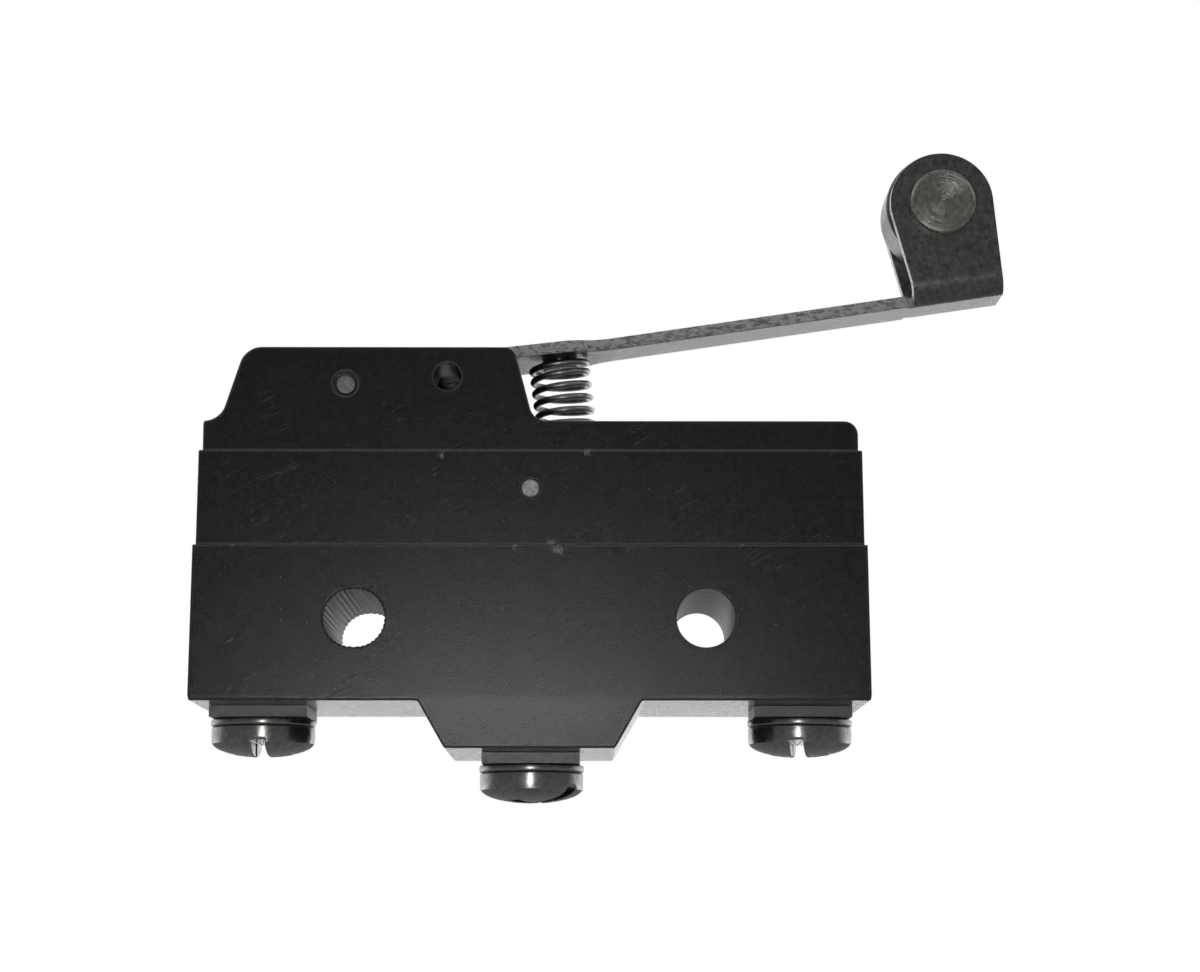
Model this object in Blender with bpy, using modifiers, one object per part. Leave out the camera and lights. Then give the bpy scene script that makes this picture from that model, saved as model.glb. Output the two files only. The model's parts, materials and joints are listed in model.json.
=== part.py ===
"""Limit switch with a roller lever: case, lever train, screw terminals and snap-action contacts.

The model stands upright with its roller at the top right. X runs along the case, Z is up, and
the front face looks along -Y. The origin lies midway between the two mounting holes, on the
rear face. Heights are measured from the line through the mounting holes.
"""

import math

import bmesh
import bpy
from mathutils import Matrix, Vector

MM = 0.001

# Clearances between pieces
SEAT_GAP = 0.03 * MM
PRESS_GAP = 0.02 * MM
RUNNING_GAP = 0.05 * MM
SLIP_GAP = 0.1 * MM
OVERCUT = 1.0 * MM
SHARP_ANGLE = math.radians(40)

# Case: base
CASE_LENGTH = 49.2 * MM
CASE_DEPTH = 17.45 * MM
HOLE_PITCH = 25.4 * MM
HOLE_DIAMETER = 4.25 * MM
SLOTTED_HOLE_LENGTH = 4.5 * MM
BASE_TOP = 5.3 * MM
BASE_BOTTOM = -5.95 * MM
BASE_WALL = 1.6 * MM
BASE_END_WALL = 2.2 * MM
BASE_DRAFT = 0.15 * MM
CAVITY_FLOOR = 3.2 * MM
FOOT_HEIGHT = 3.41 * MM
FOOT_HALF_TOP = 8.1 * MM
FOOT_HALF_BOTTOM = 6.15 * MM
CASE_EDGE = 0.25 * MM
CASE_CORNER = 0.5 * MM

# Case: cover, its two steps and the upstands that hold it
SKIRT_INSET = 0.37 * MM
SKIRT_SIDE_INSET = 0.1 * MM
SKIRT_TOP = 12.25 * MM
DECK_INSET = 0.65 * MM
DECK_SIDE_INSET = 0.25 * MM
DECK_TOP = 14.47 * MM
COVER_WALL = 1.6 * MM
COVER_END_WALL = 1.8 * MM
COVER_ROOF = 2.07 * MM
DECK_CORNER = 1.0 * MM
UPSTAND_WIDTH = 6.0 * MM
UPSTAND_THICKNESS = 1.4 * MM
UPSTAND_TOP = 11.2 * MM
COVER_PIN_DIAMETER = 1.3 * MM
COVER_PIN_HEIGHT = 9.46 * MM
COVER_PIN_DEPTH = 2.9 * MM

# Case: hinge cheeks on the cover
CHEEK_TOP = 19.95 * MM
CHEEK_GAP = 0.175 * MM
CHEEK_FOOT_INSET = 1.93 * MM
CHEEK_SHOULDER_INSET = 3.72 * MM
CHEEK_NOSE = 3.85 * MM
CHEEK_TOE = 2.41 * MM
CHEEK_BIG_ROUND = 1.6 * MM
CHEEK_SMALL_ROUND = 0.8 * MM
CHEEK_FOOT_ROUND = 1.5 * MM
CHEEK_TOE_ROUND = 1.2 * MM
CHEEK_SLOT_INSET = 6.0 * MM
SPARE_HOLE_OFFSET = 7.44 * MM
SPARE_HOLE_RISE = 0.52 * MM
SPARE_HOLE_DIAMETER = 2.0 * MM

# Hinge pin
HINGE_INSET = 11.06 * MM
HINGE_HEIGHT = 17.2 * MM
HINGE_PIN_DIAMETER = 1.45 * MM
HINGE_PIN_RECESS = 0.35 * MM
HINGE_MOUTH_STEP = 0.225 * MM
HINGE_MOUTH_DEPTH = 0.8 * MM

# Lever: a bent sheet with hinge lugs at one end and a roller fork at the other
SHEET = 0.9 * MM
LEVER_TILT = math.radians(6.39)
LEVER_RISE = 1.465 * MM
LEVER_TAIL = 2.9 * MM
LEVER_WIDTH = 7.3 * MM
NECK_PAST_BUTTON = 1.199 * MM
NECK_LENGTH = 2.0 * MM
BEND_PAST_BUTTON = 2.249 * MM
BEND_ANGLE = math.radians(1.97)
ARM_WIDTH = 4.6 * MM
LUG_WALL = 1.375 * MM
LUG_INSET = 0.04 * MM
ROLLER_REACH = 28.05 * MM
ROLLER_RISE = 7.33 * MM
ROLLER_SIDE_GAP = 0.15 * MM
FORK_INNER_BEND = 0.8 * MM
EAR_RADIUS = 3.9 * MM
EAR_HEEL = 3.2 * MM
EAR_TOE = 3.65 * MM
EAR_STEPS = 16

# Roller and its riveted axle
ROLLER_DIAMETER = 8.2 * MM
ROLLER_WIDTH = 4.8 * MM
ROLLER_EDGE = 0.25 * MM
AXLE_DIAMETER = 2.6 * MM
AXLE_HEAD_DIAMETER = 5.0 * MM
AXLE_HEAD_HEIGHT = 0.8 * MM

# Plunger, coil spring and the button that holds the spring's upper end
PLUNGER_X = 2.6 * MM
PLUNGER_DIAMETER = 2.9 * MM
PLUNGER_HEAD_RIM = 0.28 * MM
PLUNGER_HEAD_HEIGHT = 0.8 * MM
PLUNGER_HEAD_PROUD = 0.28 * MM
PLUNGER_TRAVEL = 0.6 * MM
PLUNGER_NOSE_DIAMETER = 1.8 * MM
PLUNGER_NOSE_LENGTH = 1.2 * MM
PLUNGER_PILOT_HEIGHT = 0.5 * MM
PLUNGER_FREE_GAP = 0.35 * MM
SPRING_DIAMETER = 4.64 * MM
SPRING_WIRE = 0.5 * MM
SPRING_TURNS = 6.0
SPRING_END_TURNS = 0.75
SPRING_CLOSED_PITCH = 0.52 * MM
SPRING_LEAN = 0.6 * MM
SPRING_END_GAP = 0.06 * MM
SPRING_POINTS_PER_TURN = 14
SPRING_PILOT_GAP = 0.32 * MM
BUTTON_HEIGHT = 0.6 * MM
BUTTON_SHANK_DIAMETER = 1.6 * MM
BUTTON_TAIL_DIAMETER = 2.6 * MM
BUTTON_TAIL_HEIGHT = 0.35 * MM

# Screw terminals
TERMINAL_INSET = 4.6 * MM
PLATE_WIDTH = 7.2 * MM
PLATE_DEPTH = 8.0 * MM
PLATE_THICKNESS = 0.8 * MM
INSERT_WALL = 1.05 * MM
INSERT_HEIGHT = 5.6 * MM
POST_WIDTH = 3.2 * MM
POST_DEPTH = 5.0 * MM
SCREW_DIAMETER = 3.9 * MM
THREAD_HEIGHT = 4.5 * MM
SCREW_TIP_GAP = 0.2 * MM
SCREW_TIP_CHAMFER = 0.4 * MM
SCREW_HEAD_DIAMETER = 7.7 * MM
SCREW_HEAD_HEIGHT = 2.25 * MM
SCREW_HEAD_RIM = 1.1 * MM
SCREW_DOME_STEPS = 6
DRIVER_SLOT_WIDTH = 1.0 * MM
DRIVER_CROSS_LENGTH = 4.2 * MM
DRIVER_DEPTH = 1.1 * MM
WASHER_DIAMETER = 7.8 * MM
WASHER_THICKNESS = 0.5 * MM

# Snap blade and contacts
BLADE_HEIGHT = 6.05 * MM
BLADE_THICKNESS = 0.3 * MM
BLADE_WIDTH = 7.0 * MM
BLADE_PIVOT_INSET = 5.1 * MM
BLADE_TAIL = 1.8 * MM
BLADE_PAD_LENGTH = 4.0 * MM
BLADE_HEAD_LENGTH = 8.0 * MM
TENSION_LEG_WIDTH = 2.2 * MM
BOW_LEG_WIDTH = 1.7 * MM
BOW_DROP = 1.0 * MM
BOW_START_DROP = 0.9 * MM
BOW_THICKNESS = 0.24 * MM
CONTACT_DIAMETER = 3.2 * MM
CONTACT_SHANK_DIAMETER = 1.6 * MM
CONTACT_DOME = 0.4 * MM
CONTACT_DOME_STEPS = 4
CONTACT_TRAVEL = 0.5 * MM
CONTACT_INSET = 7.6 * MM
CONTACT_FREE_GAP = 0.04 * MM
STRIP_THICKNESS = 0.8 * MM
STRIP_WIDTH = 4.0 * MM
STRIP_OVERHANG = 1.7 * MM
STRIP_STEP = 0.025 * MM
LIP_THICKNESS = 0.6 * MM
LIP_HEIGHT = 1.5 * MM
FULCRUM_REACH = 10.2 * MM
RIVET_HEAD_HEIGHT = 0.6 * MM

# Sizes worked out from the ones above
HALF_LENGTH = CASE_LENGTH / 2
HALF_DEPTH = CASE_DEPTH / 2
HOLE_X = HOLE_PITCH / 2
FOOT_BOTTOM = BASE_BOTTOM - FOOT_HEIGHT
HINGE_X = -HALF_LENGTH + HINGE_INSET
TERMINAL_X = HALF_LENGTH - TERMINAL_INSET
CONTACT_X = HALF_LENGTH - CONTACT_INSET
PIVOT_X = -HALF_LENGTH + BLADE_PIVOT_INSET
FULCRUM_X = PIVOT_X + FULCRUM_REACH
SKIRT_HALF_DEPTH = HALF_DEPTH - SKIRT_SIDE_INSET
DECK_HALF_DEPTH = HALF_DEPTH - DECK_SIDE_INSET
SPRING_BOTTOM = DECK_TOP + PLUNGER_HEAD_PROUD
BUTTON_X = PLUNGER_X - SPRING_LEAN
BUTTON_REACH = (BUTTON_X - HINGE_X + LEVER_RISE * math.sin(LEVER_TILT)) / math.cos(LEVER_TILT)
LEVER_NECK = BUTTON_REACH + NECK_PAST_BUTTON
BEND_AT = BUTTON_REACH + BEND_PAST_BUTTON
CHEEK_SLOT = LEVER_WIDTH + 2 * CHEEK_GAP
HINGE_MOUTH_DIAMETER = HINGE_PIN_DIAMETER + 2 * HINGE_MOUTH_STEP
LUG_HALF = HINGE_PIN_DIAMETER / 2 + LUG_WALL
FORK_WIDTH = ROLLER_WIDTH + 2 * (ROLLER_SIDE_GAP + SHEET)
FORK_BEND = FORK_INNER_BEND + SHEET
PILOT_DIAMETER = SPRING_DIAMETER - 2 * (SPRING_WIRE + SPRING_PILOT_GAP)
PLUNGER_HEAD_DIAMETER = SPRING_DIAMETER + 2 * PLUNGER_HEAD_RIM
INSERT_DIAMETER = SCREW_DIAMETER + 2 * INSERT_WALL
PLATE_DROP = SEAT_GAP + PLATE_THICKNESS
STRIP_BOTTOM = CAVITY_FLOOR + SLIP_GAP
STRIP_TOP = STRIP_BOTTOM + STRIP_THICKNESS
BLADE_TOP = BLADE_HEIGHT + BLADE_THICKNESS

PARTS = bpy.data.collections.new("limit_switch")
CUTTERS = bpy.data.collections.new("cutters")


def clear_scene():
    for item in list(bpy.data.objects):
        bpy.data.objects.remove(item, do_unlink=True)
    for group in (PARTS, CUTTERS):
        bpy.context.scene.collection.children.link(group)


def material(name, colour, roughness, metallic):
    finish = bpy.data.materials.new(name)
    finish.use_nodes = True
    shader = finish.node_tree.nodes["Principled BSDF"]
    shader.inputs["Base Color"].default_value = (*colour, 1.0)
    shader.inputs["Roughness"].default_value = roughness
    shader.inputs["Metallic"].default_value = metallic
    return finish


def empty(name, location, parent=None, turn=0.0):
    """An empty on an axis; turn is its rotation about Y."""
    frame = bpy.data.objects.new(name, None)
    frame.empty_display_size = 2 * MM
    frame.location = location
    frame.rotation_euler = (0.0, turn, 0.0)
    frame.parent = parent
    PARTS.objects.link(frame)
    return frame


def tool(name, mesh, frame, location=(0.0, 0.0, 0.0)):
    """A new object, kept with the cutters until it is named as a part."""
    piece = bpy.data.objects.new(name, mesh)
    piece.parent = frame
    piece.location = location
    piece.hide_render = True
    piece.display_type = "WIRE"
    CUTTERS.objects.link(piece)
    return piece


def part(piece, finish):
    """Move a finished shape from the cutters to the parts and give it its material."""
    CUTTERS.objects.unlink(piece)
    PARTS.objects.link(piece)
    piece.hide_render = False
    piece.display_type = "TEXTURED"
    piece.data.materials.append(finish)
    return piece


def box(name, low, high, frame, location=(0.0, 0.0, 0.0)):
    shape = bmesh.new()
    bmesh.ops.create_cube(shape, size=1.0)
    for vertex in shape.verts:
        for axis in range(3):
            share = vertex.co[axis] + 0.5
            vertex.co[axis] = low[axis] + share * (high[axis] - low[axis])
    mesh = bpy.data.meshes.new(name)
    shape.to_mesh(mesh)
    shape.free()
    return tool(name, mesh, frame, location)


def rod(name, diameter, low, high, frame, location=(0.0, 0.0, 0.0), axis="Z", sides=32):
    """A cylinder from low to high along an axis."""
    shape = bmesh.new()
    bmesh.ops.create_cone(shape, cap_ends=True, segments=sides, radius1=diameter / 2,
                          radius2=diameter / 2, depth=high - low)
    bmesh.ops.translate(shape, verts=shape.verts, vec=(0.0, 0.0, (low + high) / 2))
    if axis == "Y":
        bmesh.ops.rotate(shape, verts=shape.verts, matrix=Matrix.Rotation(-math.pi / 2, 3, "X"))
    mesh = bpy.data.meshes.new(name)
    shape.to_mesh(mesh)
    shape.free()
    mesh.shade_smooth()
    mesh.set_sharp_from_angle(angle=SHARP_ANGLE)
    return tool(name, mesh, frame, location)


def turned(name, profile, frame, location=(0.0, 0.0, 0.0), axis="Z", steps=32, ring=False):
    """A profile of (radius, height) points, down its outer side, turned about the local Z."""
    mesh = bpy.data.meshes.new(name)
    edges = [(index, index + 1) for index in range(len(profile) - 1)]
    if ring:
        edges.append((len(profile) - 1, 0))
    mesh.from_pydata([(radius, 0.0, height) for radius, height in profile], edges, [])
    piece = tool(name, mesh, frame, location)
    if axis == "Y":
        piece.rotation_euler = (math.pi / 2, 0.0, 0.0)
    lathe = piece.modifiers.new("turn", "SCREW")
    lathe.steps = steps
    lathe.render_steps = steps
    lathe.use_merge_vertices = True
    lathe.merge_threshold = 0.001 * MM
    return piece


def rounded(corners, steps=6):
    """The points of a closed outline; each corner is (x, y, radius of its round)."""
    points = []
    for index, (x, y, radius) in enumerate(corners):
        corner = Vector((x, y))
        back = (Vector(corners[index - 1][:2]) - corner).normalized()
        ahead = (Vector(corners[(index + 1) % len(corners)][:2]) - corner).normalized()
        if radius == 0.0:
            points.append((x, y))
            continue
        half = back.angle(ahead) / 2
        centre = corner + (back + ahead).normalized() * (radius / math.sin(half))
        start = corner + back * (radius / math.tan(half)) - centre
        end = corner + ahead * (radius / math.tan(half)) - centre
        first = math.atan2(start.y, start.x)
        sweep = (math.atan2(end.y, end.x) - first + math.pi) % math.tau - math.pi
        for step in range(steps + 1):
            angle = first + sweep * step / steps
            points.append((centre.x + radius * math.cos(angle), centre.y + radius * math.sin(angle)))
    return points


def mirrored(corners):
    """Corners on the +X side, top to bottom, followed by their images on the -X side."""
    return corners + [(-x, y, radius) for x, y, radius in reversed(corners)]


def outline(name, points, thickness, frame, location=(0.0, 0.0, 0.0), plane="XZ"):
    """A flat outline in the named plane, thickened evenly to both sides of it."""
    curve = bpy.data.curves.new(name, "CURVE")
    curve.dimensions = "2D"
    curve.fill_mode = "NONE"
    curve.extrude = thickness / 2
    spline = curve.splines.new("POLY")
    spline.points.add(len(points) - 1)
    for point, (x, y) in zip(spline.points, points):
        point.co = (x, y, 0.0, 1.0)
    spline.use_cyclic_u = True
    sketch = bpy.data.objects.new(name + "_sketch", curve)
    CUTTERS.objects.link(sketch)
    if plane == "XZ":
        sketch.rotation_euler = (math.pi / 2, 0.0, 0.0)
    if plane == "YZ":
        sketch.rotation_euler = (math.pi / 2, 0.0, math.pi / 2)
    bpy.context.view_layer.update()
    view = bpy.context.evaluated_depsgraph_get()
    mesh = bpy.data.meshes.new_from_object(sketch.evaluated_get(view))
    mesh.transform(sketch.matrix_world)
    bpy.data.objects.remove(sketch)
    mesh.name = name
    shape = bmesh.new()
    shape.from_mesh(mesh)
    bmesh.ops.remove_doubles(shape, verts=shape.verts, dist=0.0001 * MM)
    bmesh.ops.holes_fill(shape, edges=shape.edges)
    bmesh.ops.recalc_face_normals(shape, faces=shape.faces)
    shape.to_mesh(mesh)
    shape.free()
    mesh.shade_smooth()
    mesh.set_sharp_from_angle(angle=SHARP_ANGLE)
    return tool(name, mesh, frame, location)


def combine(piece, other, operation):
    step = piece.modifiers.new(operation.lower(), "BOOLEAN")
    step.operation = operation
    step.solver = "EXACT"
    step.object = other


def soften(piece, width, segments=2):
    """Round the edges between faces that meet at more than the sharp angle."""
    edge = piece.modifiers.new("edges", "BEVEL")
    edge.width = width
    edge.segments = segments
    edge.limit_method = "ANGLE"
    edge.angle_limit = SHARP_ANGLE
    edge.use_clamp_overlap = False


def terminal_places():
    """Each terminal's name, its place along the case and the height of the face it seats on."""
    return [("common", -TERMINAL_X, BASE_BOTTOM), ("normally_open", 0.0, FOOT_BOTTOM),
            ("normally_closed", TERMINAL_X, BASE_BOTTOM)]


def post_box(name, frame, kind, gap):
    """The upright of a terminal, or with a gap the hole in the base that it stands in."""
    if kind == "common":
        middle, half, bottom, top = -TERMINAL_X, POST_WIDTH / 2, BASE_BOTTOM, BLADE_HEIGHT - SEAT_GAP
    elif kind == "normally_open":
        middle, half, bottom, top = 0.0, POST_WIDTH / 2, FOOT_BOTTOM, STRIP_TOP
    else:
        middle, half, bottom, top = TERMINAL_X, STRIP_THICKNESS / 2, BASE_BOTTOM, closed_arm_top()
    low = (middle - half - gap, -POST_DEPTH / 2 - gap, bottom + INSERT_HEIGHT - SLIP_GAP - OVERCUT)
    high = (middle + half + gap, POST_DEPTH / 2 + gap, top)
    return box(name, low, high, frame)


def open_contact_top():
    return BLADE_HEIGHT - CONTACT_DOME - CONTACT_TRAVEL - RUNNING_GAP


def closed_contact_bottom():
    return BLADE_TOP + CONTACT_DOME + CONTACT_FREE_GAP


def closed_arm_bottom():
    return closed_contact_bottom() + CONTACT_DOME + SEAT_GAP


def closed_arm_top():
    return closed_arm_bottom() + STRIP_THICKNESS


def make_base(frame, finish):
    corners = mirrored([
        (HALF_LENGTH - BASE_DRAFT, BASE_TOP, 0.0),
        (HALF_LENGTH, BASE_BOTTOM, CASE_CORNER),
        (FOOT_HALF_TOP, BASE_BOTTOM, CASE_CORNER),
        (FOOT_HALF_BOTTOM, FOOT_BOTTOM, CASE_CORNER)])
    base = part(outline("base", rounded(corners), CASE_DEPTH, frame), finish)
    soften(base, CASE_EDGE)
    inner_x = HALF_LENGTH - BASE_END_WALL
    inner_y = HALF_DEPTH - BASE_WALL
    combine(base, box("base_cavity", (-inner_x, -inner_y, CAVITY_FLOOR),
                      (inner_x, inner_y, BASE_TOP + OVERCUT), frame), "DIFFERENCE")
    upstand_y = SKIRT_HALF_DEPTH - COVER_WALL - RUNNING_GAP
    for side, name in ((-1, "front"), (1, "rear")):
        faces = sorted((side * upstand_y, side * (upstand_y - UPSTAND_THICKNESS)))
        combine(base, box("upstand_" + name, (-UPSTAND_WIDTH / 2, faces[0], CAVITY_FLOOR - OVERCUT),
                          (UPSTAND_WIDTH / 2, faces[1], UPSTAND_TOP), frame), "UNION")
    stretch = (SLOTTED_HOLE_LENGTH - HOLE_DIAMETER) / 2
    radius = HOLE_DIAMETER / 2
    slot = [(stretch + radius, radius, radius), (stretch + radius, -radius, radius)]
    slotted = outline("slotted_hole", rounded(mirrored(slot), 10), CASE_DEPTH + 2 * OVERCUT, frame,
                      (-HOLE_X, 0.0, 0.0))
    combine(base, slotted, "DIFFERENCE")
    combine(base, rod("round_hole", HOLE_DIAMETER, -HALF_DEPTH - OVERCUT, HALF_DEPTH + OVERCUT,
                      frame, (HOLE_X, 0.0, 0.0), "Y", 40), "DIFFERENCE")
    combine(base, cover_pin_hole(frame), "DIFFERENCE")
    for kind, x, seat in terminal_places():
        combine(base, rod("socket_" + kind, INSERT_DIAMETER + 2 * PRESS_GAP, -OVERCUT,
                          INSERT_HEIGHT + PRESS_GAP, frame, (x, 0.0, seat)), "DIFFERENCE")
        combine(base, post_box("post_hole_" + kind, frame, kind, RUNNING_GAP), "DIFFERENCE")


def cover_pin_hole(frame):
    return rod("cover_pin_hole", COVER_PIN_DIAMETER + 2 * PRESS_GAP, -HALF_DEPTH - OVERCUT,
               HALF_DEPTH + OVERCUT, frame, (0.0, 0.0, COVER_PIN_HEIGHT), "Y", 20)


def deck_outline():
    """The cover's upper step with the hinge cheeks on it, seen from the front."""
    deck_end = HALF_LENGTH - DECK_INSET
    left = -HALF_LENGTH
    return rounded([
        (deck_end, SKIRT_TOP - OVERCUT, 0.0),
        (deck_end, DECK_TOP, DECK_CORNER),
        (PLUNGER_X - CHEEK_TOE, DECK_TOP, CHEEK_TOE_ROUND),
        (PLUNGER_X - CHEEK_NOSE, CHEEK_TOP, CHEEK_SMALL_ROUND),
        (left + CHEEK_SHOULDER_INSET, CHEEK_TOP, CHEEK_BIG_ROUND),
        (left + CHEEK_FOOT_INSET, DECK_TOP, CHEEK_FOOT_ROUND),
        (-deck_end, DECK_TOP, 0.0),
        (-deck_end, SKIRT_TOP - OVERCUT, 0.0)], 5)


def make_cover(frame, finish):
    bottom = BASE_TOP + SEAT_GAP
    skirt_end = HALF_LENGTH - SKIRT_INSET
    cover = part(box("cover", (-skirt_end, -SKIRT_HALF_DEPTH, bottom),
                     (skirt_end, SKIRT_HALF_DEPTH, SKIRT_TOP), frame), finish)
    soften(cover, CASE_EDGE)
    deck = outline("deck", deck_outline(), 2 * DECK_HALF_DEPTH, frame)
    soften(deck, CASE_EDGE)
    combine(cover, deck, "UNION")
    roof = DECK_TOP - COVER_ROOF
    inner_x = skirt_end - COVER_END_WALL
    inner_y = SKIRT_HALF_DEPTH - COVER_WALL
    combine(cover, box("cover_hollow", (-inner_x, -inner_y, bottom - OVERCUT),
                       (inner_x, inner_y, roof), frame), "DIFFERENCE")
    slot_left = -HALF_LENGTH + CHEEK_SLOT_INSET
    combine(cover, box("cheek_slot", (slot_left, -CHEEK_SLOT / 2, DECK_TOP),
                       (PLUNGER_X, CHEEK_SLOT / 2, CHEEK_TOP + OVERCUT), frame), "DIFFERENCE")
    ends = (-HALF_DEPTH - OVERCUT, HALF_DEPTH + OVERCUT)
    hinge = (HINGE_X, 0.0, HINGE_HEIGHT)
    combine(cover, rod("hinge_hole", HINGE_PIN_DIAMETER + 2 * PRESS_GAP, *ends, frame, hinge, "Y", 24),
            "DIFFERENCE")
    mouth = DECK_HALF_DEPTH - HINGE_MOUTH_DEPTH
    combine(cover, rod("hinge_mouth_front", HINGE_MOUTH_DIAMETER, ends[0], -mouth, frame, hinge,
                       "Y", 24), "DIFFERENCE")
    combine(cover, rod("hinge_mouth_rear", HINGE_MOUTH_DIAMETER, mouth, ends[1], frame, hinge,
                       "Y", 24), "DIFFERENCE")
    spare = (HINGE_X + SPARE_HOLE_OFFSET, 0.0, HINGE_HEIGHT + SPARE_HOLE_RISE)
    combine(cover, rod("spare_hole", SPARE_HOLE_DIAMETER, *ends, frame, spare, "Y", 24), "DIFFERENCE")
    combine(cover, cover_pin_hole(frame), "DIFFERENCE")
    combine(cover, rod("plunger_bore", PLUNGER_DIAMETER + 2 * RUNNING_GAP, roof - OVERCUT,
                       DECK_TOP + OVERCUT, frame, (PLUNGER_X, 0.0, 0.0)), "DIFFERENCE")
    seat = SPRING_BOTTOM - PLUNGER_HEAD_HEIGHT - PLUNGER_TRAVEL - RUNNING_GAP
    combine(cover, rod("plunger_recess", PLUNGER_HEAD_DIAMETER + 4 * SLIP_GAP, seat,
                       DECK_TOP + OVERCUT, frame, (PLUNGER_X, 0.0, 0.0)), "DIFFERENCE")


def make_pins(frame, finish):
    outer = SKIRT_HALF_DEPTH
    part(rod("cover_pin_front", COVER_PIN_DIAMETER, -outer, COVER_PIN_DEPTH - outer, frame,
             (0.0, 0.0, COVER_PIN_HEIGHT), "Y", 20), finish)
    part(rod("cover_pin_rear", COVER_PIN_DIAMETER, outer - COVER_PIN_DEPTH, outer, frame,
             (0.0, 0.0, COVER_PIN_HEIGHT), "Y", 20), finish)
    end = DECK_HALF_DEPTH - HINGE_PIN_RECESS
    part(rod("hinge_pin", HINGE_PIN_DIAMETER, -end, end, frame, (HINGE_X, 0.0, HINGE_HEIGHT),
             "Y", 24), finish)


def make_lever(hinge, arm, finish):
    half = LEVER_WIDTH / 2
    neck = ARM_WIDTH / 2
    inner = [(-LEVER_TAIL, half, CASE_EDGE), (LEVER_NECK, half, NECK_LENGTH / 2),
             (LEVER_NECK + NECK_LENGTH, neck, NECK_LENGTH / 2),
             (LEVER_NECK + NECK_LENGTH + CASE_EDGE, neck, 0.0)]
    inner += [(x, -y, radius) for x, y, radius in reversed(inner)]
    lever = part(outline("lever", rounded(inner), SHEET, hinge,
                         (0.0, 0.0, LEVER_RISE + SHEET / 2), "XY"), finish)
    web_start = ROLLER_REACH - EAR_HEEL
    combine(lever, box("arm_bar", (-CASE_EDGE, -neck, 0.0),
                       (web_start + SHEET, neck, SHEET), arm), "UNION")
    combine(lever, make_fork(arm, web_start), "UNION")
    lug_bottom = -LUG_HALF + CASE_EDGE
    lug = [(LUG_HALF, LEVER_RISE + SHEET / 2, 0.0), (LUG_HALF, lug_bottom, LUG_HALF - CASE_EDGE)]
    for side, name in ((-1, "front"), (1, "rear")):
        lug_y = side * (half - LUG_INSET - SHEET / 2)
        combine(lever, outline("lug_" + name, rounded(mirrored(lug)), SHEET, hinge,
                               (0.0, lug_y, 0.0)), "UNION")
    ends = (-LEVER_WIDTH, LEVER_WIDTH)
    combine(lever, rod("lug_holes", HINGE_PIN_DIAMETER + 2 * RUNNING_GAP, *ends, hinge,
                       (0.0, 0.0, 0.0), "Y", 24), "DIFFERENCE")
    combine(lever, rod("ear_holes", AXLE_DIAMETER + 2 * PRESS_GAP, *ends, arm,
                       (ROLLER_REACH, 0.0, ROLLER_RISE), "Y", 24), "DIFFERENCE")
    combine(lever, rod("button_hole", BUTTON_SHANK_DIAMETER + 2 * PRESS_GAP, 0.0,
                       2 * (LEVER_RISE + SHEET), hinge, (BUTTON_REACH, 0.0, 0.0), "Z", 20),
            "DIFFERENCE")


def make_fork(arm, web_start):
    """A channel with two ears, cut to the ears' side view."""
    top = ROLLER_RISE + EAR_RADIUS + OVERCUT
    outer = FORK_WIDTH / 2
    inner = outer - SHEET
    channel = [(outer, top, 0.0), (outer, 0.0, FORK_BEND), (-outer, 0.0, FORK_BEND),
               (-outer, top, 0.0), (-inner, top, 0.0), (-inner, SHEET, FORK_INNER_BEND),
               (inner, SHEET, FORK_INNER_BEND), (inner, top, 0.0)]
    web_end = ROLLER_REACH + EAR_RADIUS
    fork = outline("fork", rounded(channel), web_end - web_start + OVERCUT, arm,
                   ((web_start + web_end) / 2, 0.0, 0.0), "YZ")
    points = [(-EAR_HEEL, -OVERCUT), (EAR_TOE, -OVERCUT)]
    for step in range(EAR_STEPS + 1):
        angle = math.pi * step / EAR_STEPS
        points.append((EAR_RADIUS * math.cos(angle), ROLLER_RISE + EAR_RADIUS * math.sin(angle)))
    combine(fork, outline("ear_outline", points, FORK_WIDTH + OVERCUT, arm,
                          (ROLLER_REACH, 0.0, 0.0)), "INTERSECT")
    return fork


def make_roller(arm, roller_finish, axle_finish):
    place = (ROLLER_REACH, 0.0, ROLLER_RISE)
    outer, half, edge = ROLLER_DIAMETER / 2, ROLLER_WIDTH / 2, ROLLER_EDGE
    bore = AXLE_DIAMETER / 2 + RUNNING_GAP
    part(turned("roller", [(bore, half), (outer - edge, half), (outer, half - edge),
                           (outer, edge - half), (outer - edge, -half), (bore, -half)],
                arm, place, "Y", 48, ring=True), roller_finish)
    shank = AXLE_DIAMETER / 2
    head = AXLE_HEAD_DIAMETER / 2
    seat = FORK_WIDTH / 2 + SEAT_GAP
    crown = seat + AXLE_HEAD_HEIGHT
    upper = [(0.0, crown), (head - AXLE_HEAD_HEIGHT / 2, crown), (head, seat + AXLE_HEAD_HEIGHT / 2),
             (head, seat), (shank, seat)]
    profile = upper + [(radius, -height) for radius, height in reversed(upper)]
    part(turned("roller_axle", profile, arm, place, "Y", 32), axle_finish)


def make_plunger(frame, finish):
    bottom = BLADE_TOP + PLUNGER_FREE_GAP - SPRING_BOTTOM
    body = PLUNGER_DIAMETER / 2
    head = PLUNGER_HEAD_DIAMETER / 2
    nose = PLUNGER_NOSE_DIAMETER / 2
    pilot = PILOT_DIAMETER / 2
    profile = [(0.0, PLUNGER_PILOT_HEIGHT), (pilot, PLUNGER_PILOT_HEIGHT), (pilot, 0.0), (head, 0.0),
               (head, -PLUNGER_HEAD_HEIGHT), (body, -PLUNGER_HEAD_HEIGHT),
               (body, bottom + PLUNGER_NOSE_LENGTH), (nose, bottom + PLUNGER_NOSE_LENGTH),
               (nose, bottom), (0.0, bottom)]
    part(turned("plunger", profile, frame, (PLUNGER_X, 0.0, SPRING_BOTTOM)), finish)


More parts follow.
